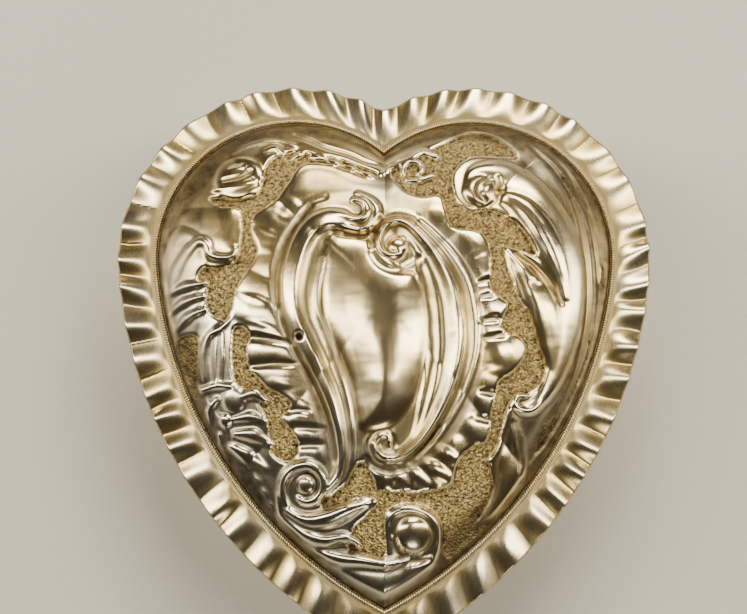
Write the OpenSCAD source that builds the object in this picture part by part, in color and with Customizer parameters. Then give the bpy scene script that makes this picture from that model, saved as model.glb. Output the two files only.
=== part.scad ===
// Heart-shaped trinket box in silver: a lined heart-shaped case, a domed lid with a
// fluted border, and two small three-knuckle hinges under the border at the lobes.
// Origin: centre of the footprint on the table. +Z up, +Y towards the cleft and the
// hinges, -Y towards the tip, where the lid is lifted. Millimetres.

/* [Heart outline] */
// Width across the border's lobes
heart_w = 92; // [74:1:120]
// Length of the border from the tip to the tops of the lobes
heart_l = 98.5; // [80:0.5:130]
// Depth of the cleft below the tops of the lobes
cleft_depth = 4.1; // [2.5:0.1:8]
// Slope of the line on which each lobe's arc meets the long side arc
shoulder_angle = 6; // [0:1:12]

/* [Case] */
// Height of the top of the side wall above the table
case_h = 22; // [16:0.5:40]
// Overhang of the border beyond the side wall
overhang = 7; // [6.5:0.1:10]
// Thickness of the side wall
wall_t = 0.7; // [0.5:0.1:1.2]
// Thickness of the base plate
base_t = 0.8; // [0.5:0.1:1.5]
// Gap between the table and the base plate
base_lift = 0.4; // [0.2:0.1:2]
// How far the foot stands out beyond the side wall
foot_reach = 1.4; // [0.8:0.1:2.4]
// How far the foot runs in under the base
foot_in = 0.8; // [0.4:0.1:2]
// Height of the bead above the foot
foot_bead_h = 1.1; // [0.6:0.1:2]
// How far the beads on the foot and on the rim stand out from the wall
bead_reach = 0.8; // [0.4:0.1:1.1]
// Height of the bead round the rim
rim_bead_h = 1.6; // [1:0.1:2.4]

/* [Lid] */
// Gap between the closed lid and the rim
lid_gap = 0.1; // [0.05:0.05:0.4]
// Thickness of the border's sheet
border_t = 0.7; // [0.5:0.1:1.2]
// Width of the fluted part of the border
flute_w = 5.8; // [4.5:0.1:6.3]
// How far the border's flat seat runs in over the edge of the lid's card
seat_lap = 0.35; // [0.2:0.05:1]
// Flutes on each half of the heart
flutes_half = 24; // [12:1:28]
// Height of a flute from hollow to crest
flute_depth = 1.1; // [0.4:0.1:1.4]
// How far the border falls from the seat to its edge
droop = 1.4; // [0:0.1:2]
// Gap between the flutes and the milled wire
wire_gap = 0.5; // [0.2:0.1:1]
// Width of the milled wire
wire_w = 1; // [0.6:0.1:1.4]
// Height of the milled wire
wire_h = 0.7; // [0.4:0.1:1.2]
// Height of the dome above the border
dome_h = 11.2; // [6:0.2:18]
// Thickness of the dome's sheet
dome_t = 0.7; // [0.5:0.1:1.2]
// Clearance between the side wall and the lid's bezel
bezel_gap = 0.35; // [0.25:0.05:0.8]
// Thickness of the bezel
bezel_t = 0.7; // [0.5:0.1:1.2]
// Depth of the bezel below the seat
bezel_h = 3.5; // [2:0.1:6]
// Length of the open stretch at the back, where the bezel would meet the wall
bezel_open = 17.2; // [17.2:0.1:24]

/* [Hinges] */
// Length of each hinge
hinge_len = 14; // [8:0.5:16]
// Distance of the hinge axis behind the side wall
hinge_off = 1.6; // [1.5:0.05:1.8]
// Depth of the hinge axis below the top of the wall
hinge_drop = 2.6; // [2.4:0.1:4]
// Outer radius of a knuckle
knuckle_r = 1.3; // [1.1:0.05:1.35]
// Radius of the hinge pin
pin_r = 0.6; // [0.4:0.05:0.7]
// Radial clearance of the pin in its knuckles
pin_gap = 0.05; // [0.02:0.01:0.08]
// Gap between neighbouring knuckles
knuckle_gap = 0.1; // [0.05:0.05:0.3]
// Thickness of the lid leaf
leaf_t = 1; // [0.6:0.1:1.1]
// Height of the bearer on the case
bearer_h = 3.2; // [2.4:0.1:5]

/* [Linings] */
// Thickness of the cards behind the linings
card_t = 0.7; // [0.5:0.1:1.2]
// Thickness of the velvet pad on the floor
pad_t = 3; // [1.5:0.1:5]
// Thickness of the velvet on the side wall
lining_t = 0.7; // [0.4:0.1:1.2]
// Gap between the top of the wall lining and the bezel
lining_drop = 0.7; // [0.3:0.1:3]
// Thickness of the padded satin in the lid
satin_t = 2.2; // [1:0.1:2.6]
// Clearance round the linings and cards
lining_gap = 0.2; // [0.1:0.05:0.6]

/* [Hidden] */

// Colours
silver = [0.80, 0.77, 0.71];
gilt = [0.83, 0.74, 0.55];
steel_silver = [0.62, 0.60, 0.58];
velvet = [0.33, 0.03, 0.07];
satin = [0.86, 0.79, 0.66];
card_buff = [0.62, 0.52, 0.38];

// Arc qualities: exact curves, so these only set the preview
$fn = 96;
far = 3 * (heart_w + heart_l);

// Outline: each half is a lobe arc and a long side arc that run smoothly into each other.
half_w = heart_w / 2;
lobe_r = cleft_depth + half_w - sqrt(2 * cleft_depth * half_w);
lobe_x = half_w - lobe_r;
lobe_y = heart_l / 2 - lobe_r;
join_dir = [cos(shoulder_angle), -sin(shoulder_angle)];
join_pt = [lobe_x, lobe_y] + lobe_r * join_dir;
tip_to_join = [0, -heart_l / 2] - join_pt;
side_r = -(tip_to_join * tip_to_join) / (2 * join_dir * tip_to_join);
side_x = join_pt[0] - side_r * join_dir[0];
side_y = join_pt[1] - side_r * join_dir[1];
side_len = PI / 180 * side_r * (acos(-side_x / side_r) - shoulder_angle);
lobe_len = PI / 180 * lobe_r * (acos(-lobe_x / lobe_r) + shoulder_angle);
half_len = side_len + lobe_len;

// Insets, each counted inwards from the border's outer edge
wall_in = overhang;
wall_inner = wall_in + wall_t;
foot_edge = wall_in - foot_reach;
base_in = wall_inner + foot_in;
bead_edge = wall_in - bead_reach;
wire_in = flute_w + wire_gap;
dome_in = wire_in + wire_w;
bezel_in = wall_inner + bezel_gap;
lid_lining_in = bezel_in + bezel_t + lining_gap;
seat_inner = lid_lining_in + seat_lap;
pad_in = wall_inner + lining_t + lining_gap;

// Heights
base_top = base_lift + base_t;
card_top = base_top + card_t;
pad_top = card_top + pad_t;
seat_z = case_h + lid_gap;
border_top = seat_z + border_t;
bezel_z = seat_z - bezel_h;
lining_top = bezel_z - lining_drop;
lid_card_z = seat_z - card_t;

// Hinge axis
wall_back_y = lobe_y + lobe_r - wall_in;
hinge_y = wall_back_y + hinge_off;
hinge_z = case_h - hinge_drop;
knuckle_len = (hinge_len - 2 * knuckle_gap) / 3;
turn_gap = 0.2;
head_t = 0.3;
head_r = pin_r + 0.3;

// Mesh steps of the two shaped sheets
flute_steps = 6;
flute_rows = [1, 0.8, 0.42, 0];
dome_steps = 36;
dome_rings = [1, 0.97, 0.92, 0.84, 0.72, 0.56, 0.36, 0.16];

// Curves of the two shaped sheets: how soon a flute swells to its full height, how the
// border's fall steepens, how the dome's side rises and rounds over, and the round
// outline that the dome's heart shape softens into towards its crown
flute_rise = 1.6;
droop_power = 1.4;
dome_rise = 2.4;
dome_shoulder = 0.7;
dome_centre = [0, lobe_y * 0.45];
dome_round = min(half_w, heart_l / 2) - dome_in - 3;

// One point of the side arc and of the lobe arc: u from 0 to 1 going from tip to cleft
function arc_pt(c, r, a) = [c[0] + r * cos(a), c[1] + r * sin(a)];
function side_pt(u, inset) =
    let (from = -acos(-side_x / (side_r - inset)))
    arc_pt([side_x, side_y], side_r - inset, from + (-shoulder_angle - from) * u);
function lobe_pt(u, inset) =
    let (to = acos(-lobe_x / (lobe_r - inset)))
    arc_pt([lobe_x, lobe_y], lobe_r - inset, -shoulder_angle + (to + shoulder_angle) * u);
function half_pt(f, inset) =
    let (s = f * half_len)
    s < side_len ? side_pt(s / side_len, inset) : lobe_pt((s - side_len) / lobe_len, inset);
// Point i of a closed loop with n points on each half, tip first, right half first
function loop_pt(i, n, inset) =
    let (p = half_pt(i <= n ? i / n : 2 - i / n, inset))
    [i <= n ? p[0] : -p[0], p[1]];

// Height of the border's upper skin at an inset, on the crest (+1) or in the hollow (-1)
function border_z(inset, wave) =
    let (out = max(0, 1 - inset / flute_w))
    border_top - droop * pow(out, droop_power)
    + wave * flute_depth / 2 * min(1, flute_rise * out);

// Height of the dome's upper skin where rho is 1 at its edge and 0 at its crown
function dome_z(rho, h) = h * pow(1 - pow(rho, dome_rise), dome_shoulder);
function dome_pt(i, rho, inset, z0, h) =
    let (edge = loop_pt(i, dome_steps, inset) - dome_centre, reach = norm(edge),
         soft = rho * reach + (1 - rho) * dome_round,
         p = dome_centre + rho * soft / reach * edge)
    [p[0], p[1], z0 + dome_z(rho, h)];

// Faces between row j and row k of a grid with n points in a closed row
function row_faces(j, k, n) =
    [for (i = [0:n - 1]) let (m = (i + 1) % n)
        for (f = [[j * n + i, j * n + m, k * n + m], [j * n + i, k * n + m, k * n + i]]) f];

module heart_half(inset) {
    side_arm = 2 * side_r;
    intersection() {
        translate([0, -far / 2]) square([far, far]);
        union() {
            translate([lobe_x, lobe_y]) circle(r = lobe_r - inset);
            intersection() {
                translate([side_x, side_y]) circle(r = side_r - inset);
                polygon([[side_x, side_y], [side_x, side_y] + side_arm * join_dir,
                         [side_arm, -side_arm], [side_x, -side_arm]]);
            }
        }
    }
}

// The heart outline moved inwards by inset
module heart(inset) {
    union() {
        heart_half(inset);
        mirror([1, 0]) heart_half(inset);
    }
}

module heart_plate(inset, z, h) {
    translate([0, 0, z]) linear_extrude(h) heart(inset);
}

module heart_ring(outer, inner, z, h) {
    translate([0, 0, z]) linear_extrude(h) difference() {
        heart(outer);
        heart(inner);
    }
}

// Box from the hinge's middle: x along the hinge, y and z measured from its axis
module hinge_block(len, y0, y1, z0, z1) {
    translate([-len / 2, hinge_y + y0, hinge_z + z0]) cube([len, y1 - y0, z1 - z0]);
}

module hinge_rod(r, x0, len) {
    translate([x0, hinge_y, hinge_z]) rotate([0, 90, 0]) cylinder(r = r, h = len);
}

// ---- Case ----
module side_wall() {
    color(silver) heart_ring(wall_in, wall_inner, base_top, case_h - base_top);
}

module base_plate() {
    color(silver) heart_plate(base_in, base_lift, base_t);
}

module foot_moulding() {
    color(gilt) {
        heart_ring(foot_edge, base_in, 0, base_top);
        heart_ring(bead_edge, wall_in, base_top, foot_bead_h);
    }
}

// The rim bead stops short of the hinges, where the lid leaves stand
module rim_moulding() {
    color(gilt) difference() {
        heart_ring(bead_edge, wall_in, case_h - rim_bead_h, rim_bead_h);
        for (side = [-1, 1]) translate([side * lobe_x, 0, 0])
            hinge_block(hinge_len + 4 * turn_gap, -2 * hinge_off, 2 * knuckle_r,
                        -bearer_h, 2 * hinge_drop);
    }
}

module floor_card() {
    color(card_buff) heart_plate(wall_inner + lining_gap, base_top, card_t);
}

module floor_pad() {
    color(velvet) heart_plate(pad_in, card_top, pad_t);
}

module wall_lining() {
    color(velvet) heart_ring(wall_inner, wall_inner + lining_t, card_top,
                             lining_top - card_top);
}

// ---- Hinges ----
// Bearer soldered to the outside of the wall, hollowed for the knuckles it carries
module hinge_bearer() {
    difference() {
        translate([lobe_x, 0, 0])
            hinge_block(hinge_len, -3 * hinge_off, -turn_gap, -bearer_h, 0);
        heart_plate(wall_in, 0, case_h);
        translate([lobe_x, 0, 0]) {
            hinge_rod(knuckle_r, -hinge_len, 2 * hinge_len);
            hinge_rod(knuckle_r + turn_gap, -knuckle_len / 2 - knuckle_gap,
                      knuckle_len + 2 * knuckle_gap);
        }
    }
}

module case_knuckles() {
    translate([lobe_x, 0, 0]) difference() {
        for (x0 = [-hinge_len / 2, hinge_len / 2 - knuckle_len])
            hinge_rod(knuckle_r, x0, knuckle_len);
        hinge_rod(pin_r + pin_gap, -hinge_len, 2 * hinge_len);
    }
}

module lid_knuckle() {
    translate([lobe_x, 0, 0]) difference() {
        hinge_rod(knuckle_r, -knuckle_len / 2, knuckle_len);
        hinge_rod(pin_r + pin_gap, -hinge_len, 2 * hinge_len);
    }
}

// Pin with a riveted head at each end
module hinge_pin() {
    translate([lobe_x, 0, 0]) {
        hinge_rod(pin_r, -hinge_len / 2 - head_t, hinge_len + 2 * head_t);
        for (x0 = [-hinge_len / 2 - head_t, hinge_len / 2]) hinge_rod(head_r, x0, head_t);
    }
}

// Leaf under the border's seat: its top is cut to the seat, clear of the flutes
module lid_leaf() {
    front = turn_gap - hinge_off;
    leaf_top = seat_z - hinge_z;
    difference() {
        translate([lobe_x, 0, 0])
            hinge_block(hinge_len, front, front + leaf_t, turn_gap / 4, leaf_top);
        difference() {
            heart_plate(-overhang, seat_z - flute_depth, 2 * flute_depth);
            heart_plate(flute_w, 0, 2 * seat_z);
        }
        translate([lobe_x, 0, 0]) {
            hinge_rod(knuckle_r, -knuckle_len / 2 - knuckle_gap, knuckle_len + 2 * knuckle_gap);
            for (x0 = [-hinge_len, knuckle_len / 2 + knuckle_gap / 2])
                hinge_rod(knuckle_r + turn_gap, x0,
                          hinge_len - knuckle_len / 2 - knuckle_gap / 2);
        }
    }
}

module mirrored(on) {
    if (on) mirror([1, 0, 0]) children();
    else children();
}

// ---- Lid ----
// One sheet: a flat seat, then flutes that swell and fall towards the edge
module fluted_border() {
    n = 2 * flutes_half * flute_steps;
    insets = concat([seat_inner], flute_w * flute_rows);
    rows = concat([for (t = insets) [t, 0]],
                  [for (k = [len(insets) - 1:-1:0]) [insets[k], -border_t]]);
    points = [for (row = rows) for (i = [0:n - 1])
        let (p = loop_pt(i, n / 2, row[0]), wave = cos(360 * i / flute_steps))
        [p[0], p[1], border_z(row[0], wave) + row[1]]];
    faces = [for (j = [0:len(rows) - 1]) for (f = row_faces(j, (j + 1) % len(rows), n)) f];
    color(gilt) polyhedron(points, faces, convexity = 8);
}

module milled_wire() {
    color(gilt) heart_ring(wire_in, dome_in, border_top, wire_h);
}

// A shell: outer skin from the edge up to the crown, inner skin back down to the edge
module lid_dome() {
    n = 2 * dome_steps;
    count = len(dome_rings);
    inner_rings = [for (k = [count - 1:-1:0]) dome_rings[k]];
    points = concat(
        [for (rho = dome_rings) for (i = [0:n - 1])
            dome_pt(i, rho, dome_in, border_top, dome_h)],
        [for (rho = inner_rings) for (i = [0:n - 1])
            dome_pt(i, rho, dome_in + dome_t, border_top, dome_h - dome_t)],
        [concat(dome_centre, border_top + dome_h),
         concat(dome_centre, border_top + dome_h - dome_t)]);
    crown = 2 * count * n;
    skins = [for (j = [0:2 * count - 1]) if (j != count - 1)
        for (f = row_faces(j, (j + 1) % (2 * count), n)) [f[0], f[2], f[1]]];
    caps = [for (i = [0:n - 1]) let (m = (i + 1) % n)
        for (f = [[(count - 1) * n + i, crown, (count - 1) * n + m],
                  [count * n + i, count * n + m, crown + 1]]) f];
    color(steel_silver) polyhedron(points, concat(skins, caps), convexity = 6);
}

// Flange inside the wall, left off round the back, where the lid turns
module lid_bezel() {
    color(silver) difference() {
        heart_ring(bezel_in, bezel_in + bezel_t, bezel_z, bezel_h);
        translate([-far / 2, heart_l / 2 - bezel_open, 0]) cube([far, far, far]);
    }
}

module lid_card() {
    color(card_buff) heart_plate(lid_lining_in, lid_card_z, card_t);
}

module lid_lining() {
    color(satin) heart_plate(lid_lining_in + lining_gap, lid_card_z - satin_t, satin_t);
}

side_wall();
base_plate();
foot_moulding();
rim_moulding();
floor_card();
floor_pad();
wall_lining();
color(silver) mirrored(true) hinge_bearer();  // left_hinge_bearer
color(silver) mirrored(false) hinge_bearer();  // right_hinge_bearer
color(silver) mirrored(true) case_knuckles();  // left_case_knuckles
color(silver) mirrored(false) case_knuckles();  // right_case_knuckles
color(gilt) mirrored(true) hinge_pin();  // left_hinge_pin
color(gilt) mirrored(false) hinge_pin();  // right_hinge_pin
fluted_border();
milled_wire();
lid_dome();
lid_bezel();
color(silver) mirrored(true) lid_leaf();  // left_lid_leaf
color(silver) mirrored(false) lid_leaf();  // right_lid_leaf
color(silver) mirrored(true) lid_knuckle();  // left_lid_knuckle
color(silver) mirrored(false) lid_knuckle();  // right_lid_knuckle
lid_card();
lid_lining();
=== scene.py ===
# %% [markdown]
# # A heart-shaped silver trinket box
# The real box is pressed and chased from thin silver sheet: a fluted lid with a deep repousse top, a chased
# case, a pair of small hinges at the back, and linings of velvet and satin. The moving skeleton of the box
# is already fixed as a CAD frame. This lesson dresses that frame: every visible piece is either a CAD node
# with a better finish, or a finer mesh that stands in for its node at exactly the same place.

# %% Load the frame
import math
import bpy
import numpy as np
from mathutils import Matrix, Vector


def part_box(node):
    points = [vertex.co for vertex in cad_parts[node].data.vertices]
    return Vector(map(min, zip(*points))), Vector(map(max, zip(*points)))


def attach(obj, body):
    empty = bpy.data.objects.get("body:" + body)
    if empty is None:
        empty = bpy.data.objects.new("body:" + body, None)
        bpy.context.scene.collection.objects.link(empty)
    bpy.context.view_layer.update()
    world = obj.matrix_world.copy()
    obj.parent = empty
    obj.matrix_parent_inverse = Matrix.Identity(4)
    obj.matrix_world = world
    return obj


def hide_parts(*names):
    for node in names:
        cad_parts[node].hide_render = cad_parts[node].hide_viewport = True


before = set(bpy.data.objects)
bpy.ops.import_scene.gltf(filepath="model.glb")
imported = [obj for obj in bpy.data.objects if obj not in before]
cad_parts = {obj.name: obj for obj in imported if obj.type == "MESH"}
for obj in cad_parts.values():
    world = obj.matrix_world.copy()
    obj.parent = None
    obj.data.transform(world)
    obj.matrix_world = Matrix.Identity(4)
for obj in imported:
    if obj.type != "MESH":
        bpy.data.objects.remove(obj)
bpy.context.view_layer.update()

MM = 0.001

# %% [markdown]
# ## The camera
# The lid is looked at from almost straight above with a long lens, so that the heart keeps its shape. A
# camera can be aimed with a constraint, but a rotation worked out once from the aim point is simpler and
# never moves.

# %% Camera
AIM = Vector((-1.8, 9.9, 21.0)) * MM
CAMERA_FAR = 284 * MM
CAMERA_ELEVATION = math.radians(78)

camera_data = bpy.data.cameras.new("camera")
camera_data.lens = 80
camera_data.sensor_width = 36
camera = bpy.data.objects.new("camera", camera_data)
bpy.context.collection.objects.link(camera)
back = Vector((0, -math.cos(CAMERA_ELEVATION), math.sin(CAMERA_ELEVATION)))
camera.location = AIM + CAMERA_FAR * back
camera.rotation_euler = back.to_track_quat("Z", "Y").to_euler()
bpy.context.scene.camera = camera
print("camera", [round(c, 4) for c in camera.location])

# %% [markdown]
# ## Node helpers
# Materials are built from nodes. A few small helpers keep the recipes short. The main ones add a node and
# fill its sockets, mix two colours, and do sums. A socket given as a value is set, and a socket given as
# another node's output is linked.

# %% Node helpers
def put(tree, kind, settings=None, **inputs):
    """Adds a node, sets its settings and fills its inputs; a space in a name is written as _."""
    node = tree.nodes.new(kind)
    for key, value in (settings or {}).items():
        setattr(node, key, value)
    for key, value in inputs.items():
        fill(tree, node.inputs[key.replace("_", " ")], value)
    return node


def fill(tree, socket, value):
    """Links another node's output to a socket, or sets the socket's own value."""
    if isinstance(value, bpy.types.NodeSocket):
        tree.links.new(value, socket)
    else:
        socket.default_value = value


def mix(tree, factor, a, b, blend="MIX"):
    """Mixes two colours."""
    node = put(tree, "ShaderNodeMix", {"data_type": "RGBA", "blend_type": blend})
    for socket, value in zip((node.inputs[0], node.inputs[6], node.inputs[7]), (factor, a, b)):
        fill(tree, socket, value)
    return node.outputs[2]


def sums(tree, operation, a, b=0.0, clamp=False):
    """One step of arithmetic on two values."""
    node = put(tree, "ShaderNodeMath", {"operation": operation, "use_clamp": clamp})
    fill(tree, node.inputs[0], a)
    fill(tree, node.inputs[1], b)
    return node.outputs[0]


def spread(tree, value, low, high, new_low=0.0, new_high=1.0):
    """Maps a value from one range to another and stops at the ends."""
    node = put(tree, "ShaderNodeMapRange", {"clamp": True})
    for socket, number in zip(node.inputs, (value, low, high, new_low, new_high)):
        fill(tree, socket, number)
    return node.outputs[0]


def new_group(name, inputs, outputs):
    """A shader node group with named inputs (a number or a colour each) and outputs."""
    group = bpy.data.node_groups.new(name, "ShaderNodeTree")
    for key, value in inputs.items():
        colour = isinstance(value, tuple)
        socket = group.interface.new_socket(
            name=key, in_out="INPUT", socket_type="NodeSocketColor" if colour else "NodeSocketFloat")
        socket.default_value = value
    for key, kind in outputs.items():
        group.interface.new_socket(name=key, in_out="OUTPUT", socket_type="NodeSocket" + kind)
    start = group.nodes.new("NodeGroupInput")
    end = group.nodes.new("NodeGroupOutput")
    return group, start.outputs, end.inputs


def new_material(name):
    """A material with its own Principled shader; gives the material, its tree and the shader."""
    material = bpy.data.materials.new(name)
    material.use_nodes = True
    return material, material.node_tree, material.node_tree.nodes["Principled BSDF"]


def use_group(tree, group, **inputs):
    """Places a group in a material with its own values."""
    node = tree.nodes.new("ShaderNodeGroup")
    node.node_tree = group
    for key, value in inputs.items():
        fill(tree, node.inputs[key.replace("_", " ")], value)
    return node.outputs


def mask(tree, name):
    """A mask stored on the mesh's points."""
    node = put(tree, "ShaderNodeAttribute", {"attribute_type": "GEOMETRY", "attribute_name": name})
    return node.outputs["Fac"]


def finish_bump(tree, shader, height, distance, strength=1.0):
    """Feeds a height to the shader's normal."""
    bump = put(tree, "ShaderNodeBump", Height=height, Distance=distance, Strength=strength)
    tree.links.new(bump.outputs[0], shader.inputs["Normal"])


# %% [markdown]
# ## The studio
# Silver has almost no colour of its own: it shows what stands round it. Large soft lamps leave broad bright
# patches on it, and the dimmer room between them gives the dark ones, so two overhead lamps stand apart
# with a gap over the lid. The floor is plain and pale.

# %% Floor, room and lamps
def soft_lamp(name, place, size, watts, tint=(1, 1, 1)):
    """A rectangular soft lamp, in millimetres from the middle of the lid, pointing at it."""
    data = bpy.data.lights.new(name, "AREA")
    data.size = size[0] * MM
    data.shape = "RECTANGLE"
    data.size_y = size[1] * MM
    data.energy = watts
    data.color = tint
    lamp = bpy.data.objects.new(name, data)
    bpy.context.collection.objects.link(lamp)
    target = Vector((0, 0, 25)) * MM
    lamp.location = target + Vector(place) * MM
    lamp.rotation_euler = (lamp.location - target).to_track_quat("Z", "Y").to_euler()
    return lamp


WARM = (1.0, 0.92, 0.71)
soft_lamp("back_window", (120, 600, 500), (560, 230), 6.8, WARM)
soft_lamp("left_overhead", (-350, 60, 600), (160, 460), 2.2, WARM)
soft_lamp("right_overhead", (380, 40, 560), (150, 420), 2.5, WARM)
soft_lamp("left_edge", (-700, 160, 330), (200, 600), 4.4, WARM)
soft_lamp("right_edge", (700, 120, 300), (160, 400), 2.4, WARM)
soft_lamp("front_fill", (160, -760, 300), (300, 120), 1.1, WARM)

world = bpy.data.worlds.new("room")
world.use_nodes = True
world.node_tree.nodes["Background"].inputs["Color"].default_value = (0.36, 0.32, 0.27, 1)
world.node_tree.nodes["Background"].inputs["Strength"].default_value = 0.10
bpy.context.scene.world = world

floor_mesh = bpy.data.meshes.new("floor")
FLOOR_HALF = 1.6
floor_corners = [(-FLOOR_HALF, -FLOOR_HALF), (FLOOR_HALF, -FLOOR_HALF), (FLOOR_HALF, FLOOR_HALF),
                 (-FLOOR_HALF, FLOOR_HALF)]
floor_mesh.from_pydata([(x, y, 0) for x, y in floor_corners], [], [(0, 1, 2, 3)])
floor = bpy.data.objects.new("floor", floor_mesh)
bpy.context.collection.objects.link(floor)
floor_material, tree, shader = new_material("pale_paper")
place = put(tree, "ShaderNodeTexCoord").outputs["Object"]
grain = put(tree, "ShaderNodeTexNoise", Vector=place, Scale=900, Detail=4)
shader.inputs["Roughness"].default_value = 0.8
tint = mix(tree, grain.outputs["Fac"], (0.52, 0.51, 0.49, 1), (0.57, 0.56, 0.54, 1))
tree.links.new(tint, shader.inputs["Base Color"])
floor_mesh.materials.append(floor_material)
print("floor and", len(bpy.data.lights), "lamps")

# %% [markdown]
# ## The silver finish
# Old gilt silver is bright where a cloth reaches it, warm and brown in the hollows, and always finely
# scratched. Painting this by hand would take a texture. Instead the meshes carry up to three masks, for
# hollows (on the lid this mask also carries painted shade), for the punched (matted) ground and for what
# stands up, and one node group turns them into a colour, a roughness and a height. Each silver material
# places the group with its own numbers.

# %% Shader group: aged silver
def make_aged_silver():
    """The group that turns masks into the colour, roughness and height of old gilt silver."""
    group, start, end = new_group(
        "aged_silver",
        {"Hollow": 0.0, "Matted": 0.0, "Raised": 0.0, "Metal": (0.74, 0.71, 0.64, 1.0),
         "Gilt": (0.83, 0.64, 0.29, 1.0),
         "Tarnish": (0.05, 0.036, 0.024, 1.0), "Gilding": 0.35, "Polish": 0.2},
        {"Color": "Color", "Roughness": "Float", "Height": "Float"})
    tree = group
    place = put(tree, "ShaderNodeTexCoord").outputs["Object"]
    cloudy = put(tree, "ShaderNodeTexNoise", Vector=place, Scale=90, Detail=5).outputs["Fac"]
    blotch = put(tree, "ShaderNodeTexNoise", Vector=place, Scale=420, Detail=6, Roughness=0.65).outputs["Fac"]
    # warm gilding lies in clouds; it is worn off whatever stands up, and strong on the punched ground
    warm = sums(tree, "MULTIPLY", spread(tree, cloudy, 0.30, 0.55, 0.45, 1.0), start["Gilding"])
    warm = sums(tree, "MULTIPLY", warm, spread(tree, start["Raised"], 0.0, 1.0, 1.0, 0.25))
    warm = sums(tree, "ADD", warm, sums(tree, "MULTIPLY", start["Matted"], 0.85), clamp=True)
    colour = mix(tree, warm, start["Metal"], start["Gilt"])
    # tarnish creeps out of the hollows in uneven blotches; on the lid this mask also holds painted shade
    uneven = spread(tree, blotch, 0.30, 0.70, 0.82, 1.12)
    dark = sums(tree, "MULTIPLY", start["Hollow"], uneven, clamp=True)
    film = sums(tree, "MULTIPLY", spread(tree, cloudy, 0.50, 0.74), 0.34)
    dark = sums(tree, "MAXIMUM", dark, sums(tree, "MULTIPLY", film, uneven), clamp=True)
    # and it sits in every punch mark of the ground
    grain = put(tree, "ShaderNodeTexNoise", Vector=place, Scale=1900, Detail=5, Roughness=0.65).outputs["Fac"]
    pebble = put(tree, "ShaderNodeTexVoronoi", Vector=place, Scale=2500).outputs["Distance"]
    marks = sums(tree, "MAXIMUM", spread(tree, grain, 0.60, 0.38, 0.05, 0.95),
                 spread(tree, pebble, 0.45, 0.8, 0.05, 0.8))
    dark = sums(tree, "MAXIMUM", dark, sums(tree, "MULTIPLY", start["Matted"], marks), clamp=True)
    colour = mix(tree, dark, colour, start["Tarnish"])
    tree.links.new(colour, end["Color"])
    # fine wiping scratches and a soft orange-peel
    stretched = put(tree, "ShaderNodeMapping", Vector=place, Rotation=(0, 0, 0.6), Scale=(1, 0.06, 1))
    wipes = put(tree, "ShaderNodeTexNoise", Vector=stretched.outputs[0], Scale=4200, Detail=3).outputs["Fac"]
    peel = put(tree, "ShaderNodeTexNoise", Vector=place, Scale=700, Detail=3).outputs["Fac"]
    punched = sums(tree, "SUBTRACT", sums(tree, "MULTIPLY", grain, 2.4), sums(tree, "MULTIPLY", pebble, 1.7))
    smooth = sums(tree, "ADD", sums(tree, "MULTIPLY", wipes, 0.001), sums(tree, "MULTIPLY", peel, 0.02))
    height = sums(tree, "ADD", smooth, sums(tree, "MULTIPLY", start["Matted"], punched))
    tree.links.new(height, end["Height"])
    rough = sums(tree, "ADD", start["Polish"], spread(tree, wipes, 0.4, 0.7, 0.0, 0.03))
    rough = sums(tree, "ADD", rough, sums(tree, "MULTIPLY", dark, 0.30))
    rough = sums(tree, "ADD", rough, sums(tree, "MULTIPLY", start["Matted"], 0.08), clamp=True)
    tree.links.new(rough, end["Roughness"])
    return group


AGED_SILVER = make_aged_silver()


def silver_material(name, hollow=0.0, matted=0.0, raised=0.0, bump=0.00006, **finish):
    """A silver for one kind of piece; the three levels are numbers, or the names of masks on the mesh."""
    material, tree, shader = new_material(name)
    levels = {"Hollow": hollow, "Matted": matted, "Raised": raised}
    levels = {key: mask(tree, value) if isinstance(value, str) else value for key, value in levels.items()}
    out = use_group(tree, AGED_SILVER, **levels, **finish)
    tree.links.new(out["Color"], shader.inputs["Base Color"])
    tree.links.new(out["Roughness"], shader.inputs["Roughness"])
    shader.inputs["Metallic"].default_value = 1.0
    finish_bump(tree, shader, out["Height"], bump)
    return material


SILVER_LID = silver_material("chased_silver", "hollow", "matted", "raised", Gilding=0.95, Polish=0.185,
                             bump=0.0002)
SILVER_FLUTED = silver_material("fluted_silver", "hollow", 0.0, "raised", Gilding=1.0, Polish=0.23)
SILVER_WIRE = silver_material("milled_silver", "hollow", Gilding=0.8, Polish=0.28)
SILVER_PLAIN = silver_material("plain_silver", 0.12, Gilding=0.7, Polish=0.22)
SILVER_BAND = silver_material("embossed_silver", "hollow", "matted", Gilding=0.85, Polish=0.2, bump=0.0001)
print("silver materials ready")

# %% [markdown]
# ## The heart outline
# Every piece follows the same heart: two round lobes, joined by two long arcs that meet at the tip. The
# pieces only differ in how far they lie inside the border's edge. Giving each point of the outline a share
# of the way round, and drawing it at any inset, keeps flutes, bead and wall lined up with each other.

# %% Heart outline
border_low, border_high = (np.array(corner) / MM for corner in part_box("fluted_border"))
HEART_W = border_high[0] - border_low[0]
HEART_L = border_high[1] - border_low[1]
CLEFT = 4.1
SHOULDER = math.radians(6)
HALF = HEART_W / 2
LOBE_R = CLEFT + HALF - math.sqrt(2 * CLEFT * HALF)
LOBE = np.array([HALF - LOBE_R, HEART_L / 2 - LOBE_R])
shoulder_way = np.array([math.cos(SHOULDER), -math.sin(SHOULDER)])
shoulder_point = LOBE + LOBE_R * shoulder_way
to_tip = np.array([0, -HEART_L / 2]) - shoulder_point
SIDE_R = -(to_tip @ to_tip) / (2 * (shoulder_way @ to_tip))
SIDE = shoulder_point - SIDE_R * shoulder_way
SIDE_TURN = math.acos(-SIDE[0] / SIDE_R)
LOBE_TURN = math.acos(-LOBE[0] / LOBE_R)
SIDE_LENGTH = SIDE_R * (SIDE_TURN - SHOULDER)
LOBE_LENGTH = LOBE_R * (LOBE_TURN + SHOULDER)
HALF_LENGTH = SIDE_LENGTH + LOBE_LENGTH


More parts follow.
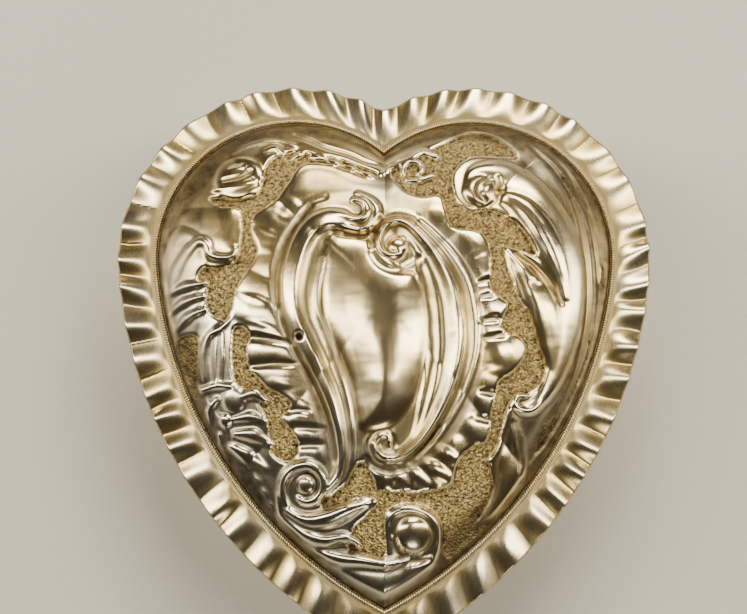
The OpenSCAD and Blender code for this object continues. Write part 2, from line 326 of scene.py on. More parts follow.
def outline(share, inset):
    """Points of the heart; the share is 0 at the tip, 1 at the cleft and 2 back at the tip."""
    share, inset = np.broadcast_arrays(np.asarray(share, float) % 2, np.asarray(inset, float))
    left = share > 1
    s = np.where(left, 2 - share, share) * HALF_LENGTH
    side_start = -np.arccos(-SIDE[0] / (SIDE_R - inset))
    side = side_start + (-SHOULDER - side_start) * np.clip(s / SIDE_LENGTH, 0, 1)
    lobe_end = np.arccos(-LOBE[0] / (LOBE_R - inset))
    lobe = -SHOULDER + (lobe_end + SHOULDER) * np.clip((s - SIDE_LENGTH) / LOBE_LENGTH, 0, 1)
    on_side = s < SIDE_LENGTH
    x = np.where(on_side, SIDE[0] + (SIDE_R - inset) * np.cos(side),
                 LOBE[0] + (LOBE_R - inset) * np.cos(lobe))
    y = np.where(on_side, SIDE[1] + (SIDE_R - inset) * np.sin(side),
                 LOBE[1] + (LOBE_R - inset) * np.sin(lobe))
    return np.where(left, -x, x), y


print("heart", round(HEART_W, 2), "x", round(HEART_L, 2), "mm, way round", round(2 * HALF_LENGTH, 1), "mm")

# %% [markdown]
# ## From numbers to meshes
# Most pieces are long bands: a cross-section carried once round the heart. One helper joins the rings of
# such a band into quads, another makes the object, gives it its finish and puts it on its body.

# %% Mesh helpers
def piece(name, points, faces, material, body, slot_name, replaced=(), smooth=True, **masks):
    """A mesh object in metres, on a body, standing for CAD nodes; masks are values for each point."""
    mesh = bpy.data.meshes.new(name)
    mesh.from_pydata((np.asarray(points) * MM).tolist(), [], faces)
    mesh.materials.append(material)
    for key, values in masks.items():
        mesh.attributes.new(key, "FLOAT", "POINT").data.foreach_set("value", np.asarray(values, "f").ravel())
    if smooth:
        mesh.shade_smooth()
    obj = bpy.data.objects.new(name, mesh)
    bpy.context.collection.objects.link(obj)
    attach(obj, body)
    if replaced:
        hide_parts(*replaced)
    return obj


def ring_faces(rows, columns, closed_rows=True, closed_columns=True):
    """Quads over a grid of points, row after row; a closed band's last column joins its first."""
    last_row = rows if closed_rows else rows - 1
    last_column = columns if closed_columns else columns - 1
    faces = []
    for i in range(last_row):
        a = i * columns
        b = (i + 1) % rows * columns
        for j in range(last_column):
            k = (j + 1) % columns
            faces.append((a + j, a + k, b + k, b + j))
    return faces


def smooth_step(value, low, high):
    """Rises softly from 0 at low to 1 at high."""
    t = np.clip((value - low) / (high - low), 0, 1)
    return t * t * (3 - 2 * t)

# %% [markdown]
# ## A tray for chasing
# The relief is worked like the real one: a field is raised, patches of ground are sunk and punched, and
# then scrolls, ribs and grooves are chased into it along drawn lines. Sculpting with the mouse would
# also do this, but lines with widths and heights can be corrected one by one. The heights are kept on a
# fine grid, and any mesh can read them.

# %% Chasing tools
ROUND = [(-1, 0), (-0.8, 0.5), (-0.5, 0.85), (0, 1), (0.5, 0.85), (0.8, 0.5), (1, 0)]


def curve(points, steps=8, closed=False):
    """A smooth line through the points."""
    p = np.asarray(points, float)
    if len(p) < 3 and not closed:
        return p
    ends = (p[-1:], p[:2]) if closed else (2 * p[:1] - p[1:2], 2 * p[-1:] - p[-2:-1])
    q = np.vstack([ends[0], p, ends[1]])
    t = np.arange(steps)[:, None] / steps
    parts = []
    for a, b, c, d in zip(q, q[1:], q[2:], q[3:]):
        parts.append(b + 0.5 * t * (c - a + t * (2 * a - 5 * b + 4 * c - d + t * (3 * (b - c) + d - a))))
    return np.vstack(parts if closed else parts + [p[-1:]])


def spiral(centre, r0, r1, from_deg, to_deg, count=7):
    """Points on a spiral round the centre; a falling angle runs clockwise."""
    angles = np.radians(np.linspace(from_deg, to_deg, count))
    radii = np.linspace(r0, r1, count)
    return [(centre[0] + r * math.cos(a), centre[1] + r * math.sin(a)) for r, a in zip(radii, angles)]


def spaced(values, t):
    """Values spread evenly along a line, read at t from 0 to 1."""
    v = np.atleast_1d(np.asarray(values, float))
    return np.interp(t, np.linspace(0, 1, len(v)), v) if len(v) > 1 else np.full(np.shape(t), v[0])


def soften(values, reach):
    """Blurs a grid over a few cells each way."""
    weights = np.interp(np.arange(-reach, reach + 1), [-reach - 1, 0, reach + 1], [0, 1, 0])
    weights /= weights.sum()
    for axis in (0, 1):
        values = sum(w * np.roll(values, i - reach, axis) for i, w in enumerate(weights))
    return values


class Tray:
    """A grid of heights in millimetres, with masks of punched ground and of painted shade beside it."""

    def __init__(self, low, high, cell, field):
        self.low = np.array(low, float)
        self.cell = cell
        self.x, self.y = np.meshgrid(np.arange(low[0], high[0], cell), np.arange(low[1], high[1], cell))
        self.height = np.full(self.x.shape, float(field))
        self.matted = np.zeros(self.x.shape)
        self.painted_shade = np.zeros(self.x.shape)

    def window(self, low, high):
        """The part of the grid between two corners."""
        a = np.clip(((np.asarray(low) - self.low) / self.cell).astype(int), 0, None)
        b = np.clip(((np.asarray(high) - self.low) / self.cell).astype(int) + 2, 0, None)
        return slice(a[1], b[1]), slice(a[0], b[0])

    def measure(self, line, reach):
        """Near a line: the distance to it, the share along it, and the side (+1 on its left)."""
        win = self.window(line.min(0) - reach, line.max(0) + reach)
        x, y = self.x[win], self.y[win]
        step = np.diff(line, axis=0)
        length = np.hypot(*step.T)
        start = np.concatenate([[0], np.cumsum(length)])
        best, along, side = np.full(x.shape, 1e9), np.zeros(x.shape), np.zeros(x.shape)
        for p, d, n, s in zip(line, step, length, start):
            if n < 1e-6:
                continue
            k = np.clip(((x - p[0]) * d[0] + (y - p[1]) * d[1]) / n ** 2, 0, 1)
            ex, ey = x - p[0] - k * d[0], y - p[1] - k * d[1]
            gap = ex * ex + ey * ey
            near = gap < best
            best = np.where(near, gap, best)
            along = np.where(near, (s + k * n) / start[-1], along)
            side = np.where(near, np.sign(d[0] * ey - d[1] * ex), side)
        return win, np.sqrt(best), along, side

    def raise_to(self, win, rise, inside, matted=0):
        """Raises what is lower than a new height, and marks whether it is punched."""
        self.height[win] = np.where(inside, np.maximum(self.height[win], rise), self.height[win])
        self.matted[win] = np.where(inside & (self.height[win] <= rise + 1e-9), matted, self.matted[win])

    def sweep(self, points, left, right, height, profile=ROUND, level=0.0):
        """Raises a moulding along a line; its profile runs from the right side (-1) to the left (+1)."""
        line = curve(points)
        win, gap, t, side = self.measure(line, max(np.max(left), np.max(right)))
        wide = np.where(side > 0, spaced(left, t), spaced(right, t))
        q = np.where(side > 0, 1, -1) * gap / np.maximum(wide, 1e-3)
        across, up = curve(profile, 6).T
        self.raise_to(win, level + spaced(height, t) * np.interp(q, across, up), np.abs(q) < 1)

    def rib(self, points, width, height, fullness=1.5):
        """Adds a rib to what is there: full (0.5) or with soft feet (2). A negative height makes a groove."""
        win, gap, t, side = self.measure(curve(points), np.max(width))
        q = np.clip(gap / np.maximum(spaced(width, t), 1e-3), 0, 1)
        self.height[win] += spaced(height, t) * (1 - q * q) ** fullness

    def groove(self, points, width, depth):
        """Cuts a groove along a line."""
        self.rib(points, width, -np.asarray(depth, float))

    def inside(self, points, reach):
        """The cells within an outline, and their distance to it."""
        line = curve(points, 6, closed=True)
        line = np.vstack([line, line[:1]])
        win, gap, _, _ = self.measure(line, reach)
        x, y = self.x[win], self.y[win]
        found = np.zeros(x.shape, bool)
        for (ax, ay), (bx, by) in zip(line, line[1:]):
            if ay != by:
                found ^= ((ay > y) != (by > y)) & (x < (bx - ax) * (y - ay) / (by - ay) + ax)
        return win, gap, found

    def ground(self, points, level=0.0, edge=0.35):
        """Sinks a patch of ground to a level, with steep sides, and marks it as punched."""
        win, gap, found = self.inside(points, 0.3)
        down = smooth_step(gap, 0, edge)
        self.height[win] = np.where(found, self.height[win] * (1 - down) + level * down, self.height[win])
        self.matted[win] = np.where(found & (gap > edge * 0.6), 1, self.matted[win])

    def swell(self, points, height, bevel):
        """Swells a field up inside an outline, as a cushion does."""
        win, gap, found = self.inside(points, 0.3)
        t = np.clip(gap / bevel, 0, 1)
        self.height[win] += np.where(found, height * np.sqrt(1 - (1 - t) ** 2), 0)

    def ball(self, x, y, r, height, level=0.0):
        """A round boss."""
        win = self.window((x - r, y - r), (x + r, y + r))
        q = np.hypot(self.x[win] - x, self.y[win] - y) / r
        self.raise_to(win, level + height * np.sqrt(np.clip(1 - q * q, 0, 1)), q < 1)

    def paint_shade(self, points, width, amount):
        """Paints shade into the colour along a line, as a dark band."""
        win, gap, _, _ = self.measure(curve(points), width)
        q = np.clip(gap / width, 0, 1)
        self.painted_shade[win] = np.maximum(self.painted_shade[win], amount * (1 - q * q) ** 1.5)

    def read(self, values, x, y, around=False):
        """The values at any points, between the cells; a band goes round and joins up."""
        rows, columns = values.shape
        fx = (np.asarray(x) - self.low[0]) / self.cell
        fy = np.clip((np.asarray(y) - self.low[1]) / self.cell, 0, rows - 1.001)
        fx = fx % columns if around else np.clip(fx, 0, columns - 1.001)
        i, j = fy.astype(int), fx.astype(int)
        u, v = fx - j, fy - i
        j2 = (j + 1) % columns
        low = values[i, j] * (1 - u) + values[i, j2] * u
        high = values[i + 1, j] * (1 - u) + values[i + 1, j2] * u
        return low * (1 - v) + high * v


def noise_grid(shape, reach, seed):
    """Seeded soft noise with a spread of 1."""
    values = soften(np.random.default_rng(seed).standard_normal(shape), reach)
    return values / values.std()


# %% [markdown]
# ## The ground of the lid
# On the real lid the background is sunk and matted with a punch, and everything that is left between these
# patches stands smooth and bright. So the field starts high, and the patches are cut first. Their edges
# make the ragged outline of the leafwork. All points are in millimetres, seen from above, with the tip at
# the bottom.

# %% Sunk and punched ground
FIELD = 0.75
lid_tray = Tray((-42, -44), (42, 44), 0.1, FIELD)
sink = lid_tray.ground
# the strip that winds down the left side, from the top field to the foot of the left scroll
sink([(-29.6, 27.6), (-25, 27.2), (-21.6, 27.6), (-20.6, 30), (-20.2, 32.6), (-18.6, 34.6), (-15, 35.6),
      (-11.6, 34.8), (-7.6, 34), (-4, 32.6), (0, 30.9), (-3, 30.3), (-6.4, 31.6), (-9.6, 32.8),
      (-13.8, 32.8), (-15.8, 29.8), (-17.4, 27.2), (-19.6, 25.2), (-21.9, 23.4), (-22, 20.6), (-21, 17.8),
      (-21.5, 15.6), (-23.3, 13), (-24.6, 10.4), (-25.2, 7.4), (-26.6, 5.8), (-29, 7), (-29.9, 9),
      (-29.8, 11.6), (-31.4, 13.4), (-30.4, 15.2), (-27.4, 15), (-24.8, 16), (-24.2, 19), (-24, 22),
      (-24.6, 25), (-28, 25.8)])
sink([(-25, 4.6), (-23.3, 4.8), (-21.9, 2.8), (-22.5, 1.2), (-22.2, -1.9), (-20.8, -3.6), (-19, -5.6),
      (-16.4, -6.8), (-15.1, -8.4), (-16.7, -10.6), (-15.4, -12), (-14.3, -13.7), (-14, -16.4),
      (-16.4, -17.6), (-18.8, -15.6), (-19.2, -12), (-20, -9.4), (-22.4, -6), (-24.6, -4.6), (-25.3, -1),
      (-25.3, 2)])
sink([(-8.8, -24.4), (-6.2, -20.8), (-4.6, -18), (-2.8, -18), (-1.8, -20.4), (-1.2, -22.4), (-4, -22.9),
      (-6.4, -24.4)])
sink([(-34.8, 3.6), (-31.2, 3.8), (-31, 0), (-31.2, -4), (-31.2, -8), (-32.6, -8.6), (-34.6, -4), (-35.2, 0)],
     0.3)
# round the cleft and along the top of the right lobe
sink([(1.4, 33), (4.6, 33.6), (6.6, 35.4), (9.6, 37), (12.4, 38.6), (15, 39.6), (18.4, 39.2), (21.2, 37.2),
      (22.8, 35), (20, 34.6), (15.8, 34.5), (13.2, 33.2), (11.8, 30.8), (11.8, 27.8), (12.6, 25.4),
      (14.6, 24.3), (18, 24.6), (21.4, 23), (23.6, 20.8), (25, 18.4), (25.2, 16.8), (22.8, 17.3),
      (20.4, 17.8), (20.4, 15.4), (21.2, 12.8), (22, 10.4), (23.2, 8.2), (24.8, 6.2), (26, 3), (26.6, -0.6),
      (26.6, -3.6), (24.4, -6), (21.6, -7), (20.2, -8.8), (19.2, -12.4), (18.2, -15.4), (17.2, -17),
      (17.6, -19), (18, -21.6), (17.4, -24.4), (17.2, -27.6), (15, -30.6), (11.8, -33.8), (9.4, -31.6),
      (9.2, -27.6), (7.6, -25.2), (5, -24.4), (2, -24.6), (0.4, -26), (0.2, -29), (0.4, -32), (-1.4, -33.6),
      (-5.2, -33.2), (-6, -30.8), (-5, -28), (-3, -26.2), (-1.4, -24), (-4.6, -23.6), (-7, -24.7),
      (-10, -25.4), (-10.4, -22.8), (-8.4, -21.6), (-5, -21.8), (-2.6, -21.8), (1, -22.4), (6.2, -22.5),
      (9, -21.8), (10.8, -21.2), (11.2, -19.2), (11.9, -17.4), (13.1, -15.9), (14.7, -14.8), (16.3, -14.4),
      (17.1, -12.6), (17.3, -10), (17.9, -7.2), (18.3, -5.4), (19, -4), (20.8, -3), (22.6, -0.9), (23.1, 1),
      (22, 2.8), (20.1, 3.3), (19.1, 4.6), (19.4, 6.2), (20.1, 8.3), (18.4, 9.6), (17.3, 11.2), (17.5, 14),
      (17.5, 16.6), (16.8, 19.2), (15, 20.6), (12, 20.9), (10.9, 21.6), (9.9, 24.6), (9.2, 26.8),
      (6.4, 26.4), (3.6, 27.4), (2.2, 29), (1, 31)])
# the narrow strips near the right edge
sink([(35, 2.4), (33.2, -2.4), (30.2, -8.4), (26.4, -14.6), (24.6, -15.6), (26.2, -11), (29, -7.4),
      (31.8, -1.6), (33.8, 3)], 0.25)
sink([(31.2, 31.8), (33.8, 28.8), (34.9, 26.2), (33.8, 26.2), (31.6, 29), (30.2, 31.4)], 0.25)
sink([(37.5, 16), (38, 10), (37.2, 3.4), (36.4, 3.4), (36.8, 10), (36.6, 16)], 0.25)
print("ground covers", round(float(lid_tray.matted.sum()) * lid_tray.cell ** 2), "square mm")

# %% [markdown]
# ## The two great scrolls
# Two C-shaped scrolls stand round an empty panel. Each is one moulding with a bright crest, a broad cove
# beside it and a thin ridge at its edge. Each profile is drawn once, and the width and height change along
# the line, so that it swells in the middle and tightens into the volutes.

# %% Panel, left scroll and right scroll
lid_tray.swell([(-9.6, 19.4), (-3, 19), (2, 14.4), (5.2, 12.6), (6.8, 8), (7, 2), (6, -4), (4, -9), (1, -12),
                (-3.6, -12.6), (-4.6, -10), (-5.4, -5), (-7, -1), (-9.5, 4), (-10.2, 9), (-10, 14)], 1.6, 7)
lid_tray.rib([(-1, 17), (0, 10), (0.6, 2), (0.2, -6), (-1.4, -12)], [4, 6.5, 6.5, 4.5, 3],
             [0.2, 0.6, 0.7, 0.6, 0.2], 1.2)
SCROLL_LEFT = [(-1, 0), (-0.9, 0.34), (-0.7, 0.64), (-0.45, 0.82), (-0.25, 0.89), (-0.1, 0.93), (0, 1),
               (0.08, 0.88), (0.18, 0.62), (0.32, 0.46), (0.5, 0.4), (0.68, 0.42), (0.8, 0.5), (0.88, 0.62),
               (0.95, 0.5), (1, 0.3)]
lid_tray.sweep([(-7.6, 21.2), (-9.6, 21.2), (-11.7, 20), (-13.3, 17.2), (-14.4, 13.2), (-14.7, 9),
                (-14.1, 5.3), (-12.6, 2), (-10.7, -2), (-8.9, -6.3), (-7.7, -10), (-6.9, -14), (-6.7, -17),
                (-7.3, -20), (-9.2, -22.2)], [1.6, 4, 4.4, 4.2, 4, 3.4, 2.9, 2.3, 1.6, 1.1],
               [3.6, 3.4, 3.3, 3.1, 3, 2.5, 2.0, 1.6, 1.4, 1.1],
               [2.3, 2.9, 3.1, 3.2, 3.1, 3.0, 2.8, 2.6, 2.3, 1.8], SCROLL_LEFT)
lid_tray.groove([(-12.3, 25), (-15, 21.5), (-17.1, 17.5), (-18, 13.7), (-17.9, 10), (-17.1, 6.5),
                 (-15.4, 2.1), (-13.9, -1), (-11.6, -5.5), (-9.9, -9.5), (-8.9, -13.5), (-8.2, -17.5)],
                [0.4, 1.0, 1.1, 1.0, 0.8, 0.5], 0.3)
# a small worn hole through its crest
HOLE = [(-14.0, 2.5), (-13.9, 2.4)]
HOLE_WIDTH, HOLE_DEPTH = 0.62, 2.4
lid_tray.rib(HOLE, HOLE_WIDTH, -HOLE_DEPTH, 1)
# its head: two wavy ribbons that curl over
lid_tray.sweep([(-10.2, 22.3), (-8.8, 23), (-6.8, 22.8), (-4.9, 22.2), (-3.4, 22.5), (-2.8, 23.9),
                (-3.4, 25.3), (-5, 26)], [0.6, 1.0, 1.0, 0.9, 0.5], [0.6, 0.8, 0.8, 0.8, 0.5],
               [1.3, 1.5, 1.6, 1.7, 1.3], level=0.5)
lid_tray.sweep([(-10, 21.5), (-7.4, 21.3), (-5.7, 20.8), (-4, 20.4), (-2.3, 21.2), (-1.3, 22.8), (-1.3, 24.4),
                (-2.4, 26), (-4.4, 27.2)],
               [0.7, 1, 1.1, 1.1, 0.7], [0.6, 0.9, 1, 1, 0.5], [1.3, 1.6, 1.9, 1.7, 1.0], level=0.5)
lid_tray.groove([(-8.4, 20.3), (-6, 19.7), (-3.4, 19.6), (-1.6, 20.2)], 0.6, 0.5)

SCROLL_RIGHT = [(-1, 0.2), (-0.93, 0.4), (-0.84, 0.38), (-0.7, 0.4), (-0.6, 0.46), (-0.52, 0.51),
                (-0.44, 0.5), (-0.34, 0.53), (-0.23, 0.7), (-0.12, 0.93), (-0.02, 1), (0.1, 0.95),
                (0.24, 0.64), (0.4, 0.4), (0.58, 0.33), (0.76, 0.36), (0.88, 0.46), (0.94, 0.5), (1, 0.25)]
RIGHT_BACK = [(0.6, 21.3), (2.2, 21.9), (3.8, 21.4), (5.4, 20), (7.2, 18), (8.9, 15.8), (10.4, 13),
              (11.6, 9.6), (12.2, 5.4), (12.3, 1.2), (11.6, -3), (10.1, -7.6), (7.7, -12), (5.4, -14.9),
              (3, -16.8), (0.8, -17.3), (-0.9, -16.6), (-1.7, -15.1)]
lid_tray.sweep(spiral((2, 17.8), 1.6, 3.2, -70, -220, 6) + RIGHT_BACK
               + spiral((0.3, -14.9), 1.9, 0.6, 175, 20, 5),
               [1.5, 1.9, 2.1, 2.6, 3.4, 3.6, 3.4, 2.8, 2.3, 1.9, 1.7, 1.2],
               [0.9, 1.4, 2.6, 4.8, 6.2, 6.4, 5.6, 4.2, 1.7, 0.9, 0.6],
               [2.1, 2.6, 3.0, 3.2, 3.3, 3.3, 3.2, 3.0, 2.7, 2.5, 1.8], SCROLL_RIGHT)
lid_tray.groove([(-2.2, 17.4), (-1.9, 20), (-0.6, 22.4), (2.2, 23.3), (5.3, 22.4)], 0.8, 0.5)
lid_tray.groove([(8.9, -12.2), (6.7, -15.2), (4.3, -17.9), (1.7, -19.2), (-1, -18.9), (-2.9, -17.6)], 0.8,
                0.5)
lid_tray.ball(2.2, 17.6, 1.5, 0.9, 1.0)
lid_tray.groove(spiral((2, 17.6), 4.3, 4.3, 200, 330, 8), 1.0, 0.4)
lid_tray.groove(spiral((0.3, -15), 1.2, 1.3, 80, -40, 4), 0.45, 0.6)

# %% [markdown]
# ## The frills
# Outside the scrolls the field breaks into folds, like the edge of a shell. Each fold is a rib from the
# scroll out to the ground, with a groove in front of some of them, so that light and dark follow one
# another.

# %% Folds of the two frills
LEFT_FOLDS = [
    ((-13.8, 22.6), (-17, 25.2), 1.9, 0.32), ((-15.4, 20.6), (-20.4, 23.2), 2.1, 0.3),
    ((-17.4, 17.6), (-21, 19.6), 2.0, 0.3), ((-17.6, 14.2), (-21, 16), 2.4, 0.22),
    ((-17.4, 9.2), (-23.4, 12.2), 2.1, 0.42), ((-16.6, 4.6), (-24.6, 8.4), 2.2, 0.7),
    ((-15.4, 1.6), (-22.6, 4.4), 1.4, 0.4), ((-14.6, -0.6), (-22.4, 0.6), 1.5, 0.6),
    ((-12.9, -4.4), (-21, -3), 1.9, 0.6), ((-11.4, -7.2), (-18.4, -5.6), 1.6, 0.4),
    ((-10.4, -9.8), (-16, -8), 1.3, 0.45), ((-9.4, -12.6), (-16.6, -10.6), 1.5, 0.55),
    ((-8.8, -14.8), (-15, -13.2), 1.2, 0.4), ((-8.8, -17), (-13.8, -16), 1.3, 0.4)]
RIGHT_FOLDS = [
    ((8.6, 21), (9.4, 25), 1.5, 0.3), ((12, 17.2), (15.8, 19.6), 2.6, 0.45),
    ((14.2, 13), (17.2, 15), 2.4, 0.4), ((15.6, 6.4), (19.8, 8.3), 2.1, 0.45),
    ((15.9, 2.6), (19, 4.4), 1.7, 0.3), ((15.7, -1.6), (22.6, 1.2), 3.0, 0.8),
    ((15, -5.6), (19, -4), 1.9, 0.3), ((13.9, -9.4), (17.6, -8), 2.3, 0.42),
    ((12.3, -13), (16.7, -12.4), 2.2, 0.5), ((9.6, -16), (13, -16), 2.1, 0.42),
    ((7, -18.6), (10.8, -19.6), 1.8, 0.4)]
for start, end, width, height in LEFT_FOLDS + RIGHT_FOLDS:
    bow = ((start[0] + end[0]) / 2, (start[1] + end[1]) / 2 + 0.35 * math.sin(3 * start[1] + end[0]))
    lid_tray.rib([start, bow, end], [width * 0.5, width, width * 1.15, width],
                 [0, height * 0.4, height * 0.9, height * 0.9, height * 0.4], 0.6)
for start, end in [((-14.6, -1.9), (-22.2, -1.9)), ((-15, 1.5), (-21.6, 2.9)), ((-12.5, -9.6), (-15.8, -9.4)),
                   ((-10, -12.4), (-15, -12.1)), ((-10, -14.9), (-14, -14.9)),
                   ((15.6, 11.6), (17.2, 12.2)), ((15.8, 9.2), (17.6, 9.6)), ((15.8, 5.2), (18.4, 5.8)),
                   ((16.4, 2.4), (19.4, 3)), ((15.8, -6.4), (17.6, -6.4)), ((15, -10.6), (16.9, -10.7))]:
    lid_tray.groove([start, end], [0.5, 0.8], [0.35, 0.6])
for start, end in [((-2.4, -18.2), (0.4, -21)), ((0.2, -18.5), (3.7, -21.4)), ((3, -18.4), (7, -21.4)),
                   ((5.8, -17.6), (10.2, -20.4)), ((8.4, -15.6), (11.4, -17.6))]:
    lid_tray.rib([start, end], [0.9, 1.3, 1.1], [0.2, 0.6, 0.5], 0.7)
# the plain field over the scrolls' heads is dented along one side
lid_tray.groove([(-10, 26.5), (-12.4, 25.4), (-14.6, 22), (-16.2, 18.6), (-17.4, 13), (-17.4, 8)], 0.8, 0.35)
lid_tray.swell([(-15.8, 27.4), (-13.6, 31.6), (-9, 31.4), (-4.6, 29.2), (1.4, 28.6), (0.6, 26.4), (-4, 27.6),
                (-10, 27.4)], 0.15, 3)

# %% [markdown]
# ## Acanthus and volutes at the tip
# Long leaves sweep from a volute on the left down to the tip and end beside a round boss on the right. They
# are laid over one another from the outside in, as the chaser would.

# %% Leaves and volutes near the tip
LOBE_LEAF = [(-1, 0), (-0.9, 0.4), (-0.6, 0.66), (-0.3, 0.86), (0, 1), (0.3, 0.93), (0.6, 0.72),
             (0.85, 0.42), (1, 0.1)]
SMOOTH = [(-1, 0), (-0.9, 0.36), (-0.65, 0.7), (-0.3, 0.93), (0, 1), (0.3, 0.94), (0.65, 0.72), (0.9, 0.38),
          (1, 0)]
lid_tray.sweep([(-17.5, -22.6), (-16.6, -28), (-13.8, -32.9), (-9.6, -36.2), (-4.2, -38.2), (1.2, -37.8),
                (6, -35.1), (8.2, -31.8), (8.4, -28.6)], [1.8, 3.4, 4, 4.2, 4.2, 3.8, 2.6, 1.2],
               [0.8, 1.2, 1.4, 1.5, 1.8, 2, 1.6, 0.7], [1.4, 1.7, 1.9, 2, 2.1, 2.1, 1.9, 1.5], SMOOTH)
lid_tray.sweep([(-16.2, -28.8), (-12, -32.2), (-7.8, -33.3), (-3.8, -33.7), (0.4, -34.2), (4, -33.2)],
               [1.0, 1.7, 1.8, 1.6, 1.2, 0.6], [0.9, 1.3, 1.3, 1.0, 0.8, 0.5],
               [1.8, 2.3, 2.5, 2.6, 2.5, 2.2], SMOOTH)
lid_tray.sweep([(-16.6, -26.6), (-13.6, -29.2), (-10, -30.2), (-7, -29.8), (-5, -30.2), (-4, -31.2)],
               [1, 1.6, 1.6, 1.3, 0.9, 0.4], [1, 1.7, 1.7, 1.4, 0.9, 0.4], [2, 2.5, 2.7, 2.6, 2.2, 1.5],
               SMOOTH)
lid_tray.sweep([(-16, -25.4), (-13, -26.9), (-9.8, -26.8), (-6.2, -25.4), (-2.8, -24.4)],
               [0.9, 1.3, 1.6, 1.2, 0.5], [0.9, 1.7, 2.0, 1.7, 0.6], [2.1, 2.6, 2.8, 2.5, 1.4], SMOOTH)
lid_tray.sweep(spiral((-12.9, -21.6), 4.4, 3.4, 250, 100, 8) + spiral((-12.9, -21.6), 3.4, 2.2, 80, -120, 8),
               [0.5, 0.9, 1.1, 1, 0.7], [0.6, 1.1, 1.2, 1, 0.7], [1.4, 2.1, 2.3, 2.1, 1.7])
lid_tray.ball(-12.8, -21.4, 1.5, 1.0, 0.9)
lid_tray.ball(4.9, -29.4, 3.0, 1.9, 0.6)
lid_tray.sweep([(8.6, -30.6), (8.4, -28), (6.6, -26), (3.8, -25.3), (1.4, -26), (0.6, -27.6)],
               [0.6, 0.8, 0.8, 0.7, 0.4], [0.9, 1.0, 0.9, 0.7, 0.4], [1.9, 2.1, 2.1, 1.8, 1.2], SMOOTH)
lid_tray.groove([(7.4, -33), (4.6, -33.4), (2.2, -32.2), (1.2, -30)], [0.5, 0.8, 0.6], 0.7)

# %% [markdown]
# ## The right side
# A single big leaf scroll fills the right lobe. Its back is broad and nearly plain, so its shape has to
# come from a rounded body first, and only then from a few long folds and the pointed leaf tucked inside.

# %% Big leaf scroll, pointed leaf and edge grooves
BODY = [(-1, 0.2), (-0.88, 0.45), (-0.6, 0.72), (-0.2, 0.93), (0.2, 1), (0.6, 0.86), (0.88, 0.55), (1, 0.2)]
lid_tray.sweep([(14.6, 28), (15.6, 31), (18.4, 31.8), (21.6, 30.9), (24.6, 28.2), (27.6, 24.4), (30, 20),
                (31.6, 15.4), (32, 10.6), (31.3, 5.2), (29.8, 0.4), (28, -4), (25.6, -7.4), (22.8, -8.8)],
               [2, 1.8, 2.4, 3, 3, 3, 2.8, 2.4, 2.0, 2.2, 2.2, 1.9, 1.4, 0.9],
               [1.6, 2.5, 3.6, 4.4, 4.6, 4.6, 4.2, 3.6, 3.8, 4.6, 3.8, 2.2, 1.4, 0.8],
               [1.3, 1.7, 2.0, 2.1, 2.2, 2.2, 2.1, 2.0, 2.0, 2.0, 1.9, 1.8, 1.7, 1.3], BODY)
lid_tray.rib([(19.6, 27), (22.8, 25), (25.6, 21.6), (27.9, 17.4), (29.6, 13), (30.3, 9.8)],
             [1.2, 2.3, 2.7, 2.5, 1.7, 0.6], [0.5, 1.0, 1.1, 1.1, 0.9, 0.3], 0.7)
lid_tray.groove([(21.6, 26.2), (24.4, 23.6), (26.8, 19.8), (28.7, 15.6), (29.8, 12)],
                [0.2, 0.45, 0.45, 0.2], 0.22)
lid_tray.ball(16.3, 28, 3.0, 1.8, 0.6)
lid_tray.groove([(17.6, 29.8), (16.3, 28.9), (15.9, 27.3), (16.8, 26)], [0.6, 1.2, 1.2, 0.6], 0.7)
lid_tray.groove([(19.2, 30.4), (19.5, 28.2), (19.2, 26.4)], [0.5, 0.9, 0.5], 0.5)
lid_tray.sweep([(20.3, 17.6), (22.4, 14.8), (24.6, 11), (26.4, 6.6), (27.6, 1.6), (27.9, -3)],
               [0.3, 2.2, 3.4, 3.6, 3, 1], [0.5, 1.6, 2.3, 2.6, 2.1, 0.7], [1.0, 1.9, 2.3, 2.3, 2.0, 1.5],
               SMOOTH)
lid_tray.groove([(22.2, 17.2), (25.2, 15), (27.6, 12.4), (29.6, 8.8)], [0.4, 0.6, 0.6, 0.3], 0.55)
for tip in [(24.2, 12.6), (25.6, 12.2)]:
    lid_tray.rib([(21.2, 16.4), tip], [0.3, 0.7], [0.1, 0.3])
lid_tray.sweep([(27, -6.6), (24.6, -8.9), (22.6, -9.1), (21.4, -8.2), (21.9, -6.9), (23.2, -6.8)],
               [0.6, 0.9, 0.9, 0.8, 0.6], [0.9, 1, 0.8, 0.6], [1.6, 1.9, 1.8, 1.5])
lid_tray.sweep([(20.6, -8.4), (20.8, -12), (21.2, -16), (20.9, -20), (19, -24), (15.6, -27.2)],
               [0.5, 2.0, 3.2, 3.2, 2.6, 0.6], [0.4, 1.2, 2.8, 2.9, 1.9, 0.6],
               [1.3, 1.8, 1.9, 1.8, 1.6, 1.0], LOBE_LEAF)
lid_tray.rib([(20.4, -9), (19.6, -12.4), (18.6, -15.6), (17.2, -17.6)], [0.4, 0.6, 0.5], [0.6, 0.6, 0.4])
lid_tray.groove([(21.2, -11), (22.2, -15), (22.2, -19)], [0.4, 0.7, 0.3], 0.4)
for off, depth in [(0, 1.5), (1.8, 1.3), (3.4, 0.8)]:
    lid_tray.groove([(24.6 + off * 0.7, 38 + off * 0.1), (29.6 + off * 0.8, 32.4 + off * 0.5),
                     (33.2 + off, 24.6), (34.6 + off, 15.6), (34.4 + off, 6.8), (32.2 + off, -2.6),
                     (28 + off, -11.4), (24 + off, -17)], [0.4, 1.1, 1.2, 0.5], [0.2, depth, depth, 0.3])

# %% [markdown]
# ## The left side and the top
# The left lobe holds a hooded leaf, a plain field with a curling edge, a fan of small leaves, and lower
# down a veined leaf over a blossom. These are smaller than the scrolls, and worn, so their profiles are
# round.

